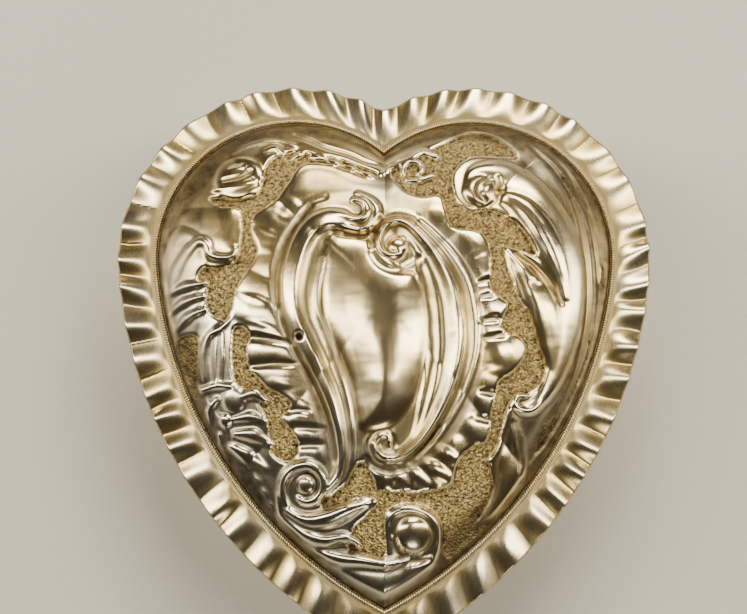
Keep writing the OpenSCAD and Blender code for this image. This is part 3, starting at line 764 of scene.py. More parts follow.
# %% Leaves, fan and blossom of the left lobe
lid_tray.ball(-24.8, 30.9, 4.3, 1.2, 0.8)
lid_tray.sweep([(-28.8, 28.9), (-25.8, 28.9), (-22.9, 29.4), (-20.4, 30.6)], [0.6, 1.0, 1.0, 0.5],
               [0.5, 0.8, 0.7, 0.4], [1.5, 2.1, 2.1, 1.5])
lid_tray.groove([(-27.4, 30.4), (-24.6, 30.9), (-22.4, 32)], [0.4, 0.8, 0.4], 0.6)
lid_tray.rib([(-26, 32.4), (-24, 32.8)], [0.6, 0.9], 0.4)
lid_tray.sweep([(-26, 36), (-22.4, 37.4), (-18.4, 37.8), (-15, 36.6)], [0.5, 1, 0.6], [0.6, 1.1, 0.6],
               [1.1, 1.6, 1.1], LOBE_LEAF)
lid_tray.sweep([(-20.4, 36), (-18.6, 36.4), (-17.4, 35)], [0.8, 0.9, 0.5], [0.8, 0.8, 0.5], [1.2, 1.6, 1.2])
for x, y, lean in [(-15.6, 34.2, 30), (-12.4, 34.4, -10), (-9.4, 33.6, -20), (-6.4, 32.5, -25),
                   (-3.6, 31.3, -25)]:
    way = np.array([math.cos(math.radians(lean)), math.sin(math.radians(lean))])
    lid_tray.sweep([(x, y) + k * way for k in (0, 1.3, 2.6)], [0.4, 0.8, 0.3], [0.4, 0.7, 0.3],
                   [0.6, 1.2, 0.7])
lid_tray.swell([(-37.8, 18), (-35.4, 22.6), (-31, 20.6), (-29.4, 16.4), (-31.2, 12), (-30.8, 6), (-33, 1.6),
                (-37, 2.4), (-38.4, 10)], 0.8, 4)
lid_tray.swell([(-34.6, 25.2), (-30, 25.4), (-25.2, 25), (-24.8, 21), (-25.2, 17), (-29, 18), (-33, 20),
                (-35.4, 19)], 0.5, 3)
lid_tray.sweep([(-36.2, 8), (-35.6, 13), (-34, 16.6), (-31.6, 19.4), (-30, 19), (-29.2, 17.2),
                (-27.4, 16.5), (-25.6, 16.6), (-24.9, 18)], [1.2, 1.9, 2, 1.6, 1.2, 0.9, 0.7],
               [1.2, 1.7, 1.8, 1.5, 1, 0.9, 0.7], [1.5, 1.9, 2.1, 2.2, 2, 1.8, 1.4])
for base, lift in [((-36.4, 11), 1.4), ((-36.4, 7.6), 2.6), ((-35.6, 4.2), 3.8)]:
    tip = (base[0] + 7 - 0.3 * lift, base[1] + lift)
    lid_tray.sweep([base, ((base[0] + tip[0]) / 2, base[1] + 0.7 * lift), tip], [1.2, 1.5, 0.5],
                   [0.9, 1.2, 0.5], [2.0, 2.3, 1.3])
lid_tray.sweep([(-29.9, -3.6), (-30.2, 0.4), (-29.2, 3.4), (-27, 4.6), (-25.2, 6.4)], [0.6, 0.8, 0.7, 0.4],
               [0.5, 0.8, 0.7, 0.4], [1.6, 1.8, 1.7, 1.0])
VEINED = [(-1, 0.5), (-0.75, 0.85), (-0.5, 0.5), (-0.2, 1), (0.05, 0.5), (0.4, 0.95), (0.7, 0.5), (1, 0.6)]
lid_tray.sweep([(-27.4, 3.6), (-27.6, 0), (-27.6, -3.9)], [1.4, 2.1, 1.5], [1.9, 2.3, 1.6], [1.4, 1.5, 1.5],
               VEINED)
lid_tray.sweep([(-30.4, -5.4), (-27.8, -4.9), (-25.2, -5.2)], 0.8, 0.7, [1.5, 1.7, 1.5])
lid_tray.ball(-24.9, -7.4, 2.2, 1.2, 0.6)
lid_tray.ball(-26.4, -10.6, 1.2, 0.9, 1.0)
BLOSSOM = [([(-23.6, -7), (-21.4, -6.5), (-19.6, -7.6)], 1.3, 1.7),
           ([(-24.8, -10.4), (-22, -10.2), (-19.6, -11)], 1.2, 1.5),
           ([(-24.6, -12.8), (-21.4, -13.2), (-18.8, -14.6)], 1.5, 1.7),
           ([(-25.4, -14.8), (-22.4, -16.6), (-19.4, -18.6)], 1.7, 1.7),
           ([(-27.8, -7), (-29.2, -9), (-29, -11.6)], 1.0, 1.6),
           ([(-27.4, -12.6), (-27.4, -14.8), (-25.8, -17.4)], 1.1, 1.5)]
for points, width, height in BLOSSOM:
    lid_tray.sweep(points, [width * 0.6, width, width * 0.5], [width * 0.6, width, width * 0.5],
                   [height, height, height * 0.6])
for k in range(13):
    x = -31.5 + 15 * k / 12 + 0.8 * math.sin(math.pi * k / 12)
    y = -5.5 - 25 * k / 12
    lid_tray.sweep([(x + 0.3, y + 1.2), (x + 0.9, y), (x + 2.2, y - 0.8)], [0.3, 0.5, 0.2], [0.3, 0.5, 0.2],
                   [1.0, 1.4, 0.8])
lid_tray.groove([(-30.6, -9), (-26.6, -17.4), (-21, -25), (-17.6, -29)], [0.3, 0.7, 0.6, 0.3], 0.5)

# %% Small scrolls under the cleft
lid_tray.sweep([(-0.6, 31), (1.4, 32.8), (4, 34), (6.6, 35.4), (8.8, 34.6)], [0.6, 0.9, 0.7],
               [0.6, 1.0, 0.7], [1.0, 1.5, 1.1])
lid_tray.sweep(spiral((5.2, 31.8), 2.2, 1.0, 200, -60, 7), [0.6, 0.7, 0.5], [0.5, 0.6, 0.4], [1.1, 1.5, 1.3])
lid_tray.sweep([(3.8, 29.8), (6, 29.8), (8.4, 30.8)], [0.5, 0.7, 0.4], [0.5, 0.6, 0.4], [0.9, 1.3, 0.9])
lid_tray.groove([(0, 33), (-3.2, 33.6), (-5.6, 34.8), (-9.9, 36.2), (-12.6, 37.7), (-15.4, 39)], 0.5, 0.5)

# %% [markdown]
# ## Painted shade
# Hollows darken by themselves later on. Some places that are not hollow get shade painted into their colour
# as well: the outer sides of the scrolls, the back of the leaf scroll, the lobes' edges and the worn
# hole.

# %% Painted shade
PAINTED_SHADE_LINES = [
    # the worn hole is painted dark inside, as painted shade
    (HOLE, 0.9, 1.0),
    ([(-12.9, 23.8), (-15.8, 20), (-17.2, 16), (-17.8, 12), (-17.5, 8.5), (-16.5, 5), (-14.8, 1), (-13, -3),
      (-11.2, -7.5), (-9.7, -12), (-9, -17)], 1.5, 0.85),
    ([(-10.3, 15.5), (-11, 10), (-10.4, 6), (-8.8, 1), (-7, -4)], 0.7, 0.6),
    ([(15, -3), (13.4, -8), (11, -12.4), (8, -15.8), (4.5, -18), (1, -18.9), (-2, -18.4)], 1.3, 0.75),
    ([(-34.5, 20), (-35.5, 12), (-34.5, 5), (-32, -2)], 5.5, 0.7),
    ([(-11, 29), (-6, 28.6), (-1, 27.6), (4, 26.4)], 3.6, 0.5),
    ([(20, 32.8), (25.5, 29.8), (30.2, 24), (33, 17), (34, 10), (33, 3), (30.2, -5)], 2.4, 0.55),
    ([(29, 34), (34.5, 27), (37, 18), (37.2, 9), (35.3, 0), (31.5, -8.5), (26.5, -15.6)], 1.7, 0.9),
    ([(-29, 22), (-30, 30), (-26, 35.6), (-19, 38.6)], 2.2, 0.6)]
for points, width, amount in PAINTED_SHADE_LINES:
    lid_tray.paint_shade(points, width, amount)
print("relief from", round(float(lid_tray.height.min()), 2), "to", round(float(lid_tray.height.max()), 2),
      "mm")

# %% [markdown]
# ## The lid's top
# The heights are ready, and now they need a skin. A grid of squares fits a heart badly, so a square grid is
# bent into a disk first, and the disk is stretched to the heart from its middle. The real sheet is thin, so
# a coarse inner skin closes the mesh below.

# %% Dome surface
DOME_IN = 7.3
DOME_T = 0.7
RELIEF = 0.8
DOME_H = 10.4
DOME_RISE = 2.4
DOME_SHOULDER = 0.7
DOME_CENTRE = np.array([0, LOBE[1] * 0.45])
DOME_ROUND = min(HALF, HEART_L / 2) - DOME_IN - 3
BORDER_TOP = 22.8
INNER_DROP = 0.9


def disk(cells):
    """Each point of a square grid as a distance from the middle (0 to 1) and a share round the edge."""
    side = np.linspace(-1, 1, cells + 1)
    a, b = np.meshgrid(side, side)
    wide = np.abs(a) > np.abs(b)
    far = np.where(wide, a, b)
    safe = np.where(far == 0, 1, far)
    turn = np.where(wide, (math.pi / 4) * b / safe, (math.pi / 2) - (math.pi / 4) * a / safe)
    turn = np.where(far < 0, turn + math.pi, turn)
    return np.abs(far), (turn / math.pi + 0.5) % 2


def dome_point(rho, share, inset, height):
    """A point of the plain dome, before any chasing."""
    ex, ey = outline(share, inset)
    ex, ey = ex - DOME_CENTRE[0], ey - DOME_CENTRE[1]
    reach = np.hypot(ex, ey)
    k = rho * (rho * reach + (1 - rho) * DOME_ROUND) / reach
    z = BORDER_TOP + height * (1 - rho ** DOME_RISE) ** DOME_SHOULDER
    return DOME_CENTRE[0] + k * ex, DOME_CENTRE[1] + k * ey, z


# %% Heights and masks of the lid
def prepare_relief(tray, grain, sway, seed):
    """Softens the chasing, beats the ground and the smooth fields a little, finds hollows and edges, and adds
    the painted shade to the hollows.
    """
    matted = soften(tray.matted, 1)
    height = soften(tray.height, 1) * matted + soften(tray.height, 4) * (1 - matted)
    beaten = noise_grid(height.shape, 3, seed) + 0.5 * noise_grid(height.shape, 6, seed + 1)
    height = height + matted * grain * beaten
    height = height + (1 - matted) * sway * noise_grid(height.shape, 24, seed + 2)
    near = (soften(height, 6) - height) / 0.17
    wide = (soften(height, 22) - height) / 0.75
    hollow = np.clip(np.maximum(near, 0.8 * wide), 0, 1)
    # the painted shade joins the tarnish of the hollows in one mask
    hollow = np.maximum(hollow, tray.painted_shade)
    crest = np.clip((height - soften(height, 12)) / 0.4, 0, 1)
    raised = np.maximum(crest, 0.35 * smooth_step(height, FIELD + 0.3, FIELD + 1.5))
    return height, matted, hollow, raised


lid_height, lid_matted, lid_tarnish_and_shade, lid_raised = prepare_relief(lid_tray, 0.11, 0.03, 5)

# %% Dome mesh
DOME_CELLS = 300
INNER_CELLS = 50
SLOPE_DARK = 0.88
CORNER_REACH = 14
rho, share = disk(DOME_CELLS)
x, y, z = dome_point(rho, share, DOME_IN, DOME_H)
flat_rim = 1 - smooth_step(rho, 0.955, 0.995)
# the heart's corner at the tip fades out over the dome
eased = 1 - smooth_step(rho, 0.86, 0.97)
z = z * (1 - eased) + soften(soften(z, CORNER_REACH), CORNER_REACH) * eased
z = z + RELIEF * (lid_tray.read(lid_height, x, y) - FIELD) * flat_rim
# tarnish of the hollows, with the painted shade in it
hollow = lid_tray.read(lid_tarnish_and_shade, x, y) * flat_rim
# the steep slope next to the wire is darkened in the colour too, except under raised work
slope = smooth_step(rho, 0.85, 0.915) * (1
                                         - smooth_step(lid_tray.read(lid_height, x, y), 0.9, 1.5) * flat_rim)
hollow = np.maximum(hollow, SLOPE_DARK * slope)
matted = lid_tray.read(lid_matted, x, y) * flat_rim
raised = lid_tray.read(lid_raised, x, y) * flat_rim
# hands have worn the gilding off towards the left side and the tip
worn = smooth_step(-x - 0.8 * y, 8, 34) * (1 - matted)
raised = np.clip(0.75 * raised + worn, 0, 1)
outer = np.stack([x, y, z], -1).reshape(-1, 3)

rho_in, share_in = disk(INNER_CELLS)
inner_skin = dome_point(rho_in, share_in, DOME_IN + DOME_T, DOME_H - DOME_T - INNER_DROP)
inner = np.stack(inner_skin, -1).reshape(-1, 3)


def edge_loop(cells):
    """The grid points along the square's border, in order."""
    n = cells + 1
    top = [j for j in range(n)]
    right = [i * n + cells for i in range(1, n)]
    bottom = [cells * n + j for j in range(cells - 1, -1, -1)]
    left = [i * n for i in range(cells - 1, 0, -1)]
    return top + right + bottom + left


faces = ring_faces(DOME_CELLS + 1, DOME_CELLS + 1, False, False)
inner_faces = ring_faces(INNER_CELLS + 1, INNER_CELLS + 1, False, False)
faces += [tuple(len(outer) + v for v in reversed(face)) for face in inner_faces]
outer_edge = edge_loop(DOME_CELLS)
inner_edge = [len(outer) + v for v in edge_loop(INNER_CELLS)]
ratio = DOME_CELLS // INNER_CELLS
for i, a in enumerate(inner_edge):
    b = inner_edge[(i + 1) % len(inner_edge)]
    run = [outer_edge[(i * ratio + k) % len(outer_edge)] for k in range(ratio + 1)]
    faces.append(tuple([a, b] + run[::-1]))
masks = {"hollow": np.concatenate([hollow.ravel(), np.full(len(inner), 0.6)]),
         "matted": np.concatenate([matted.ravel(), np.zeros(len(inner))]),
         "raised": np.concatenate([raised.ravel(), np.zeros(len(inner))])}
piece("chased_lid_top", np.vstack([outer, inner]), faces, SILVER_LID, "lid", "silver_repousse",
             ["lid_dome"], **masks)
print("dome faces", len(faces), "top", round(float(z.max()), 2), "mm")

# %% [markdown]
# ## The fluted border
# The border is one ring of sheet pressed into flutes that fan outwards. No two are quite alike: they were
# pressed by hand. So the crests stand at uneven steps, lean a little towards the cleft, and differ in
# height. The top and bottom skins are rows round the heart at changing insets, joined at the edge.

# %% Fluted border mesh
FLUTE_W = 5.8
FLUTES_HALF = 24
SEAT_IN = 9.3
SHEET_T = 0.7
DROOP = 1.4
FLUTE_UP = 0.66
NIB = 0.05
BORDER_COLUMNS = 1440
rng = np.random.default_rng(12)


def crest_places(random):
    """Uneven crest positions as shares of one half, from the tip to the cleft."""
    step = np.ones(FLUTES_HALF) + 0.16 * random.standard_normal(FLUTES_HALF)
    step[:2] = 1.05
    places = np.concatenate([[0], np.cumsum(np.clip(step, 0.72, 1.3))])
    return places / places[-1]


right_crests = crest_places(rng)
left_crests = 2 - crest_places(rng)[::-1]
crests = np.concatenate([right_crests, left_crests[1:]])
crest_height = 1 + 0.16 * rng.standard_normal(len(crests))
crest_height[-1] = crest_height[0]
crest_lean = 1.7 + 1.0 * rng.standard_normal(len(crests))
trough_bend = 0.12 * rng.standard_normal(len(crests))


def flutes(share, inset):
    """The pressed height of the border and the edge's wobble at a share and inset."""
    out = np.clip(1 - inset / FLUTE_W, 0, 1)
    towards_cleft = np.where(share < 1, 1, -1) * np.sin(math.pi * (share % 1)) ** 0.5
    lean = np.interp(share, crests, crest_lean) * towards_cleft / HALF_LENGTH
    turned = share - lean * (out - 0.4)
    number = np.interp(turned % 2, crests, np.arange(len(crests)))
    wave = 2 * (0.5 + 0.5 * np.cos(2 * math.pi * number)) ** 0.75 - 1
    near = np.round(number).astype(int) % len(crests)
    strength = out ** 0.7 * crest_height[near]
    bend = trough_bend[near] * np.sin(math.pi * out) * strength
    return -DROOP * out ** 1.4 + FLUTE_UP * wave * strength + bend, wave


border_share = np.linspace(0, 2, BORDER_COLUMNS, endpoint=False)
top_insets = np.concatenate([[SEAT_IN, 7.4, 6.4, 6.0], np.linspace(5.8, 0.15, 26), [0.0]])
bottom_insets = np.array([0.0, 0.6, 1.6, 2.8, 4.2, 5.4, 6.4, SEAT_IN])
rows, hollow_rows, raised_rows = [], [], []
for skin, insets in ((0, top_insets), (1, bottom_insets)):
    for inset in insets:
        rise, wave = flutes(border_share, inset)
        edge = NIB * np.clip(wave, 0, 1) ** 3 * smooth_step(1 - inset / FLUTE_W, 0.85, 1.0)
        bx, by = outline(border_share, inset + 0.3 * (inset < 0.2) - edge)
        rows.append(np.stack([bx, by, BORDER_TOP + rise - skin * SHEET_T], -1))
        depth = smooth_step(1 - inset / FLUTE_W, 0.02, 0.3)
        hollow_rows.append(np.clip(0.02 - 0.30 * wave, 0, 1) * depth + 0.3 * (1 - depth))
        raised_rows.append(0.5 * np.clip(0.25 + 0.9 * wave, 0, 1) * depth)
border = piece("fluted_rim_of_lid", np.vstack(rows), ring_faces(len(rows), len(border_share)),
               SILVER_FLUTED, "lid", "silver_fluted", ["fluted_border"], hollow=np.concatenate(hollow_rows),
               raised=np.concatenate(raised_rows))
print("flutes", 2 * FLUTES_HALF, "border faces", len(border.data.polygons))

# %% [markdown]
# ## The milled wire
# A fine milled wire covers the joint between the dome and the border. Its teeth are far too small to place
# by eye, so their number comes from the length of the wire, and each tooth is six columns of a round
# section.

# %% Milled wire mesh
WIRE_IN, WIRE_OUT, WIRE_H = 7.3, 6.3, 0.7
TOOTH = 0.42
TOOTH_COLUMNS = 6
TOOTH_DEEP = 0.12
wire_length = 2 * HALF_LENGTH - math.pi * (WIRE_IN + WIRE_OUT)
teeth = int(wire_length / TOOTH)
wire_share = np.linspace(0, 2, teeth * TOOTH_COLUMNS, endpoint=False)
tooth_wave = 0.5 + 0.5 * np.cos(2 * math.pi * np.arange(len(wire_share)) / TOOTH_COLUMNS)
middle, half_wide = (WIRE_IN + WIRE_OUT) / 2, (WIRE_IN - WIRE_OUT) / 2
rows, hollow_rows = [], []
for turn in np.radians([180, 150, 120, 90, 60, 30, 0]):
    cut = TOOTH_DEEP * (1 - tooth_wave)
    wx, wy = outline(wire_share, middle - (half_wide - cut) * math.cos(turn))
    rows.append(np.stack([wx, wy, BORDER_TOP + (WIRE_H - cut) * math.sin(turn)], -1))
    hollow_rows.append(0.75 * (1 - tooth_wave))
piece("milled_wire_round_dome", np.vstack(rows), ring_faces(len(rows), len(wire_share)), SILVER_WIRE, "lid",
             "silver_wire", ["milled_wire"], hollow=np.concatenate(hollow_rows))
print("teeth", teeth)

# %% [markdown]
# ## The case
# Nobody sees the wall of the case from above, but it is as richly worked as the lid. It carries one motif,
# repeated all round: a shell between two scrolls on punched ground. A second tray holds a single repeat and
# is read over and over along the wall.

# %% Chased band of the case
WALL_IN, WALL_T = 7.0, 0.7
WALL_LOW, WALL_HIGH = 1.2, 22.0
BAND_LOW, BAND_HIGH = 2.6, 20.2
BAND_UP = 1.0
BAND_EASE = 0.6
REPEATS = 12
WALL_COLUMNS, WALL_ROWS = 1320, 66
wall_length = 2 * HALF_LENGTH - 2 * math.pi * WALL_IN
REPEAT = wall_length / REPEATS
band_tray = Tray((0, BAND_LOW), (REPEAT, BAND_HIGH), 0.1, 0.45)
MID = REPEAT / 2


def mirrored(points):
    """The same points on the other side of the motif's middle."""
    return [(REPEAT - px, py) for px, py in points]


for flip in (lambda p: p, mirrored):
    band_tray.ground(flip([(0.2, 4.2), (4.5, 5.4), (5.2, 9), (3.4, 12.6), (0.2, 14)]), 0.05)
    band_tray.ground(flip([(2.6, 17.8), (6.2, 16.4), (8.6, 18.4), (5.4, 19.3)]), 0.05)
for flip in (lambda p: p, mirrored):
    band_tray.sweep(flip([(MID - 0.6, 4.4), (MID - 4.2, 4.2), (MID - 6.8, 7), (MID - 7, 11),
                          (MID - 5, 14.4), (MID - 2.4, 15), (MID - 1.8, 13)]), [0.5, 1.1, 1.2, 1.0, 0.6],
                    [0.5, 1.0, 1.1, 0.9, 0.6], [0.8, 1.1, 1.1, 1.0, 0.8])
    band_tray.sweep(flip([(0.2, 15.6), (2.4, 16.4), (4, 14.8), (3.4, 13), (2, 13.4)]), [0.4, 0.7, 0.6, 0.4],
                    [0.4, 0.7, 0.6, 0.4], [0.8, 1.0, 0.9, 0.8])
    band_tray.sweep(flip([(MID - 7.6, 8), (1.4, 5.6), (0.3, 3.4)]), [0.4, 0.9, 0.3], [0.4, 0.8, 0.3],
                    [0.8, 0.9, 0.6])
for k in range(-3, 4):
    lean = math.radians(90 - 19 * k)
    foot = (MID + 0.5 * k, 6.2)
    tip = (foot[0] + 6.4 * math.cos(lean), foot[1] + 6.4 * math.sin(lean))
    band_tray.sweep([foot, tip], [0.35, 0.8], [0.35, 0.8], [0.7, 1.0])
band_tray.ball(MID, 6.0, 1.3, 0.8, 0.3)
band_tray.ball(MID, 17.4, 1.0, 0.7, 0.3)
band_tray.ball(0.6, 10, 0.9, 0.5, 0.3)
band_height, band_matted, band_hollow, _ = prepare_relief(band_tray, 0.05, 0.015, 9)

wall_share = np.linspace(0, 2, WALL_COLUMNS, endpoint=False)
wall_run = wall_share / 2 * wall_length
wall_levels = np.linspace(WALL_LOW, WALL_HIGH, WALL_ROWS)
rows, hollow_rows, matted_rows = [], [], []
for level in wall_levels:
    rising = smooth_step(level, BAND_LOW, BAND_LOW + BAND_EASE)
    inside_band = rising * (1 - smooth_step(level, BAND_HIGH - BAND_EASE, BAND_HIGH))
    level_row = np.full(len(wall_run), level)
    up = band_tray.read(band_height, wall_run, level_row, around=True) * inside_band * BAND_UP
    wx, wy = outline(wall_share, WALL_IN - np.clip(up, 0, 1.6))
    rows.append(np.stack([wx, wy, level_row], -1))
    hollow_rows.append(band_tray.read(band_hollow, wall_run, level_row, around=True) * inside_band)
    matted_rows.append(band_tray.read(band_matted, wall_run, level_row, around=True) * inside_band)
for level in (WALL_HIGH, WALL_LOW):
    wx, wy = outline(wall_share, WALL_IN + WALL_T)
    rows.append(np.stack([wx, wy, np.full(len(wx), level)], -1))
    hollow_rows.append(np.full(len(wx), 0.3))
    matted_rows.append(np.zeros(len(wx)))
piece("chased_side_of_case", np.vstack(rows), ring_faces(len(rows), len(wall_share)), SILVER_BAND, "case",
      "silver_repousse", ["side_wall"], hollow=np.concatenate(hollow_rows),
      matted=np.concatenate(matted_rows))
print("wall repeats", REPEATS, "of", round(REPEAT, 2), "mm")

# %% [markdown]
# ## Mouldings, bottom and hinges
# The foot, the rim bead, the bottom, the bezel and the hinges already have their true shapes in the frame.
# They keep them. They only get a finish, and a small bevel that catches the light, because no real edge is
# perfectly sharp.

# %% Finishes for the plain silver nodes
PLAIN_NODES = ["base_plate", "foot_moulding", "rim_moulding", "lid_bezel"]
HINGE_NODES = [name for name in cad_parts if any(word in name for word in ("hinge", "leaf", "knuckle"))]


def refinish(node, material, bevel=0.0):
    """Gives a CAD node a new finish and, if asked, softly rounded edges."""
    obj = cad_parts[node]
    obj.data.materials.clear()
    obj.data.materials.append(material)
    if bevel:
        rounding = obj.modifiers.new("soft_edges", "BEVEL")
        rounding.width = bevel * MM
        rounding.segments = 2
        rounding.limit_method = "ANGLE"
        rounding.harden_normals = True


for node in PLAIN_NODES:
    refinish(node, SILVER_PLAIN, 0.12)
for node in HINGE_NODES:
    refinish(node, SILVER_PLAIN, 0.08)
print("refinished", PLAIN_NODES + HINGE_NODES)

# %% [markdown]
# ## Cloth and card
# Velvet is a short dense pile: it looks dark from above and pale along its edges, which is what the sheen
# of the shader is for, and brushed patches in it lean different ways. Satin is smooth and threads run
# across it. Both share one group for threads and pile, and so does the card, a plain fibrous board.

# %% Shader group: threads and pile
def make_cloth_surface():
    """The group that gives the colour and height of pile or of crossing threads."""
    group, start, end = new_group(
        "cloth_surface",
        {"Light": (0.5, 0.1, 0.1, 1.0), "Dark": (0.2, 0.02, 0.03, 1.0), "Thread": 3000.0, "Patches": 120.0,
         "Woven": 0.0},
        {"Color": "Color", "Height": "Float"})
    tree = group
    place = put(tree, "ShaderNodeTexCoord").outputs["Object"]
    patch = put(tree, "ShaderNodeTexNoise", Vector=place, Scale=start["Patches"], Detail=3).outputs["Fac"]
    pile = put(tree, "ShaderNodeTexNoise", Vector=place, Scale=start["Thread"], Detail=3).outputs["Fac"]
    across = put(tree, "ShaderNodeTexWave", {"bands_direction": "X"}, Vector=place, Scale=start["Thread"])
    along = put(tree, "ShaderNodeTexWave", {"bands_direction": "Y"}, Vector=place, Scale=start["Thread"])
    weave = sums(tree, "MAXIMUM", across.outputs["Fac"], along.outputs["Fac"])
    height = mix(tree, start["Woven"], pile, weave)
    tree.links.new(height, end["Height"])
    shade = sums(tree, "ADD", spread(tree, patch, 0.35, 0.65, 0.0, 0.7),
                 spread(tree, pile, 0.3, 0.7, 0.0, 0.3))
    tree.links.new(mix(tree, shade, start["Dark"], start["Light"]), end["Color"])
    return group


CLOTH_SURFACE = make_cloth_surface()


def cloth_material(name, roughness, sheen, sheen_tint, bump, **look):
    """A cloth or a board with its own colours, threads and sheen."""
    material, tree, shader = new_material(name)
    out = use_group(tree, CLOTH_SURFACE, **look)
    tree.links.new(out["Color"], shader.inputs["Base Color"])
    shader.inputs["Roughness"].default_value = roughness
    shader.inputs["Sheen Weight"].default_value = sheen
    shader.inputs["Sheen Roughness"].default_value = 0.35
    shader.inputs["Sheen Tint"].default_value = sheen_tint
    finish_bump(tree, shader, out["Height"], bump)
    return material


VELVET = cloth_material("wine_velvet", 0.85, 0.9, (0.9, 0.45, 0.5, 1), 0.00015, Light=(0.22, 0.018, 0.035, 1),
                        Dark=(0.075, 0.004, 0.012, 1), Thread=4200, Patches=160)
SATIN = cloth_material("ivory_satin", 0.34, 0.35, (1, 0.95, 0.85, 1), 0.00003, Light=(0.84, 0.77, 0.63, 1),
                       Dark=(0.66, 0.58, 0.44, 1), Thread=900, Patches=70, Woven=1.0)
CARD = cloth_material("lining_card", 0.8, 0.0, (1, 1, 1, 1), 0.00004, Light=(0.52, 0.47, 0.38, 1),
                      Dark=(0.42, 0.37, 0.29, 1), Thread=1600, Patches=300)
for node in ("floor_card", "lid_card"):
    refinish(node, CARD, 0.1)

# %% [markdown]
# ## Padded linings
# A velvet pad lies in the case and a quilted satin one in the lid. A pad could be modelled by pushing
# points about, but blowing up a closed skin like a balloon, as cloth, gives the tight and slack places for
# free. The simulation runs at ten times the size, because cloth settings are meant for things as large as
# cushions.

# %% Cloth simulation
SIM_SCALE = 10.0
SIM_FRAMES = 20
HEART_POINTS = 220


def heart_slab(inset, low, high):
    """Points and faces of a plain heart-shaped slab."""
    shares = np.linspace(0, 2, HEART_POINTS, endpoint=False)
    hx, hy = outline(shares, inset)
    points = [(a, b, level) for level in (low, high) for a, b in zip(hx, hy)]
    n = HEART_POINTS
    faces = [tuple(range(n - 1, -1, -1)), tuple(range(n, 2 * n))]
    faces += [(i, (i + 1) % n, n + (i + 1) % n, n + i) for i in range(n)]
    return points, faces


def finer(obj):
    """Smooths a pad's skin by dividing its faces once."""
    divide = obj.modifiers.new("finer", "SUBSURF")
    divide.levels = 1
    divide.render_levels = 1


def blown_pad(name, inset, low, high, voxel, pressure, cap):
    """A slab blown up as cloth and kept within a cap; gives its points in millimetres and its faces."""
    points, faces = heart_slab(inset, low, high)
    mesh = bpy.data.meshes.new(name)
    mesh.from_pydata([tuple(c * MM * SIM_SCALE for c in p) for p in points], [], faces)
    obj = bpy.data.objects.new(name, mesh)
    bpy.context.collection.objects.link(obj)
    remesh = obj.modifiers.new("remesh", "REMESH")
    remesh.mode = "VOXEL"
    remesh.voxel_size = voxel * MM * SIM_SCALE
    even = obj.modifiers.new("even", "SMOOTH")
    even.factor = 0.5
    even.iterations = 6
    bpy.context.view_layer.update()
    graph = bpy.context.evaluated_depsgraph_get()
    obj.data = bpy.data.meshes.new_from_object(obj.evaluated_get(graph))
    obj.modifiers.clear()
    before = np.array([v.co for v in obj.data.vertices])
    cloth = obj.modifiers.new("cloth", "CLOTH")
    cloth.settings.use_pressure = True
    cloth.settings.uniform_pressure_force = pressure
    cloth.settings.quality = 5
    cloth.settings.effector_weights.gravity = 0
    scene = bpy.context.scene
    for frame_number in range(1, SIM_FRAMES + 1):
        scene.frame_set(frame_number)
    graph = bpy.context.evaluated_depsgraph_get()
    settled = obj.evaluated_get(graph).to_mesh()
    after = np.array([v.co for v in settled.vertices])
    scene.frame_set(1)
    move = (after - before) / (MM * SIM_SCALE)
    length = np.linalg.norm(move, axis=1, keepdims=True)
    move *= np.minimum(1, cap / np.maximum(length, 1e-9))
    result = before / (MM * SIM_SCALE) + move
    faces = [tuple(p.vertices) for p in obj.data.polygons]
    bpy.data.objects.remove(obj)
    print(name, "points", len(result), "moved up to", round(float(np.linalg.norm(move, axis=1).max()), 2),
          "mm")
    return result, faces


# %% Velvet pad in the case
PAD_IN = 8.5
PAD_LOW, PAD_HIGH = 1.9, 4.9
pad_points, pad_faces = blown_pad("pad_before", PAD_IN, PAD_LOW + 0.9, PAD_HIGH - 0.5, 1.1, 3.0, 1.2)
pad_points[:, 2] = np.clip(pad_points[:, 2], PAD_LOW + 0.02, PAD_HIGH + 0.6)
pad = piece("velvet_pad_in_case", pad_points, pad_faces, VELVET, "case", "velvet", ["floor_pad"])
finer(pad)

# %% [markdown]
# ## Quilted satin
# The satin in the lid is drawn down along crossing lines of stitching. The seams come after the simulation,
# as soft valleys.

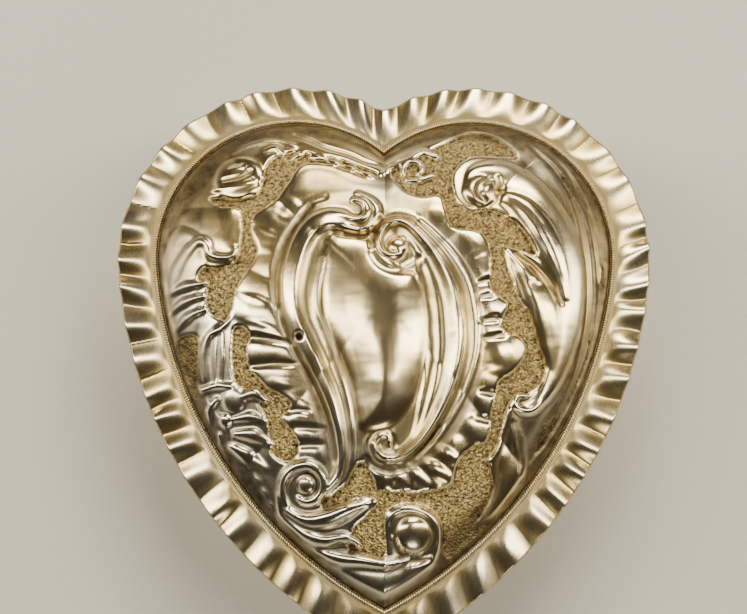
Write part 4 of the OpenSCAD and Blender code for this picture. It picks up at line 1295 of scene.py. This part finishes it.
# %% Satin lining of the lid
SATIN_IN = 10.0
SATIN_LOW, SATIN_HIGH = 19.2, 21.4
QUILT = 9.5
SEAM_WIDTH, SEAM_DEPTH = 0.09, 0.85
satin_points, satin_faces = blown_pad("satin_before", SATIN_IN, SATIN_LOW + 0.6, SATIN_HIGH - 0.4, 1.1, 2.5,
                                      0.9)
across = (satin_points[:, 0] + satin_points[:, 1]) / (QUILT * math.sqrt(2))
along = (satin_points[:, 0] - satin_points[:, 1]) / (QUILT * math.sqrt(2))
valley = np.exp(-(np.minimum(np.abs(across - np.round(across)), np.abs(along - np.round(along)))
                  / SEAM_WIDTH) ** 2)
lower_side = satin_points[:, 2] < (SATIN_LOW + SATIN_HIGH) / 2
satin_points[:, 2] += SEAM_DEPTH * valley * lower_side
satin_points[:, 2] = np.clip(satin_points[:, 2], SATIN_LOW - 0.4, SATIN_HIGH - 0.02)
satin = piece("satin_lining_in_lid", satin_points, satin_faces, SATIN, "lid", "satin", ["lid_lining"])
finer(satin)

# %% [markdown]
# ## The velvet on the wall
# A strip of velvet is stretched round inside the wall, glued flat with the slightest gathers. It is a true
# sheet.

# %% Wall lining
LINING_IN, LINING_T = 7.75, 0.4
LINING_LOW, LINING_HIGH = 2.0, 17.9
GATHER, GATHERS = 0.06, 84
LINING_COLUMNS, LINING_ROWS = 900, 14
lining_share = np.linspace(0, 2, LINING_COLUMNS, endpoint=False)
lining_levels = np.linspace(LINING_LOW, LINING_HIGH, LINING_ROWS)
gathers = GATHER * np.sin(2 * math.pi * GATHERS * lining_share / 2
                          + 1.3 * np.sin(2 * math.pi * 5 * lining_share))
rows = []
for skin in (0, 1):
    for level in (lining_levels if skin == 0 else lining_levels[::-1]):
        pull = gathers * (0.6 + 0.4 * math.cos(math.pi * (level - LINING_LOW) / (LINING_HIGH - LINING_LOW)))
        lx, ly = outline(lining_share, LINING_IN + GATHER + pull + (1 - skin) * LINING_T)
        rows.append(np.stack([lx, ly, np.full(len(lx), level)], -1))
lining = piece("velvet_lining_of_wall", np.vstack(rows), ring_faces(len(rows), len(lining_share)), VELVET,
               "case", "velvet", ["wall_lining"])
lx, ly = outline(lining_share, LINING_IN + GATHER + LINING_T / 2 + gathers)
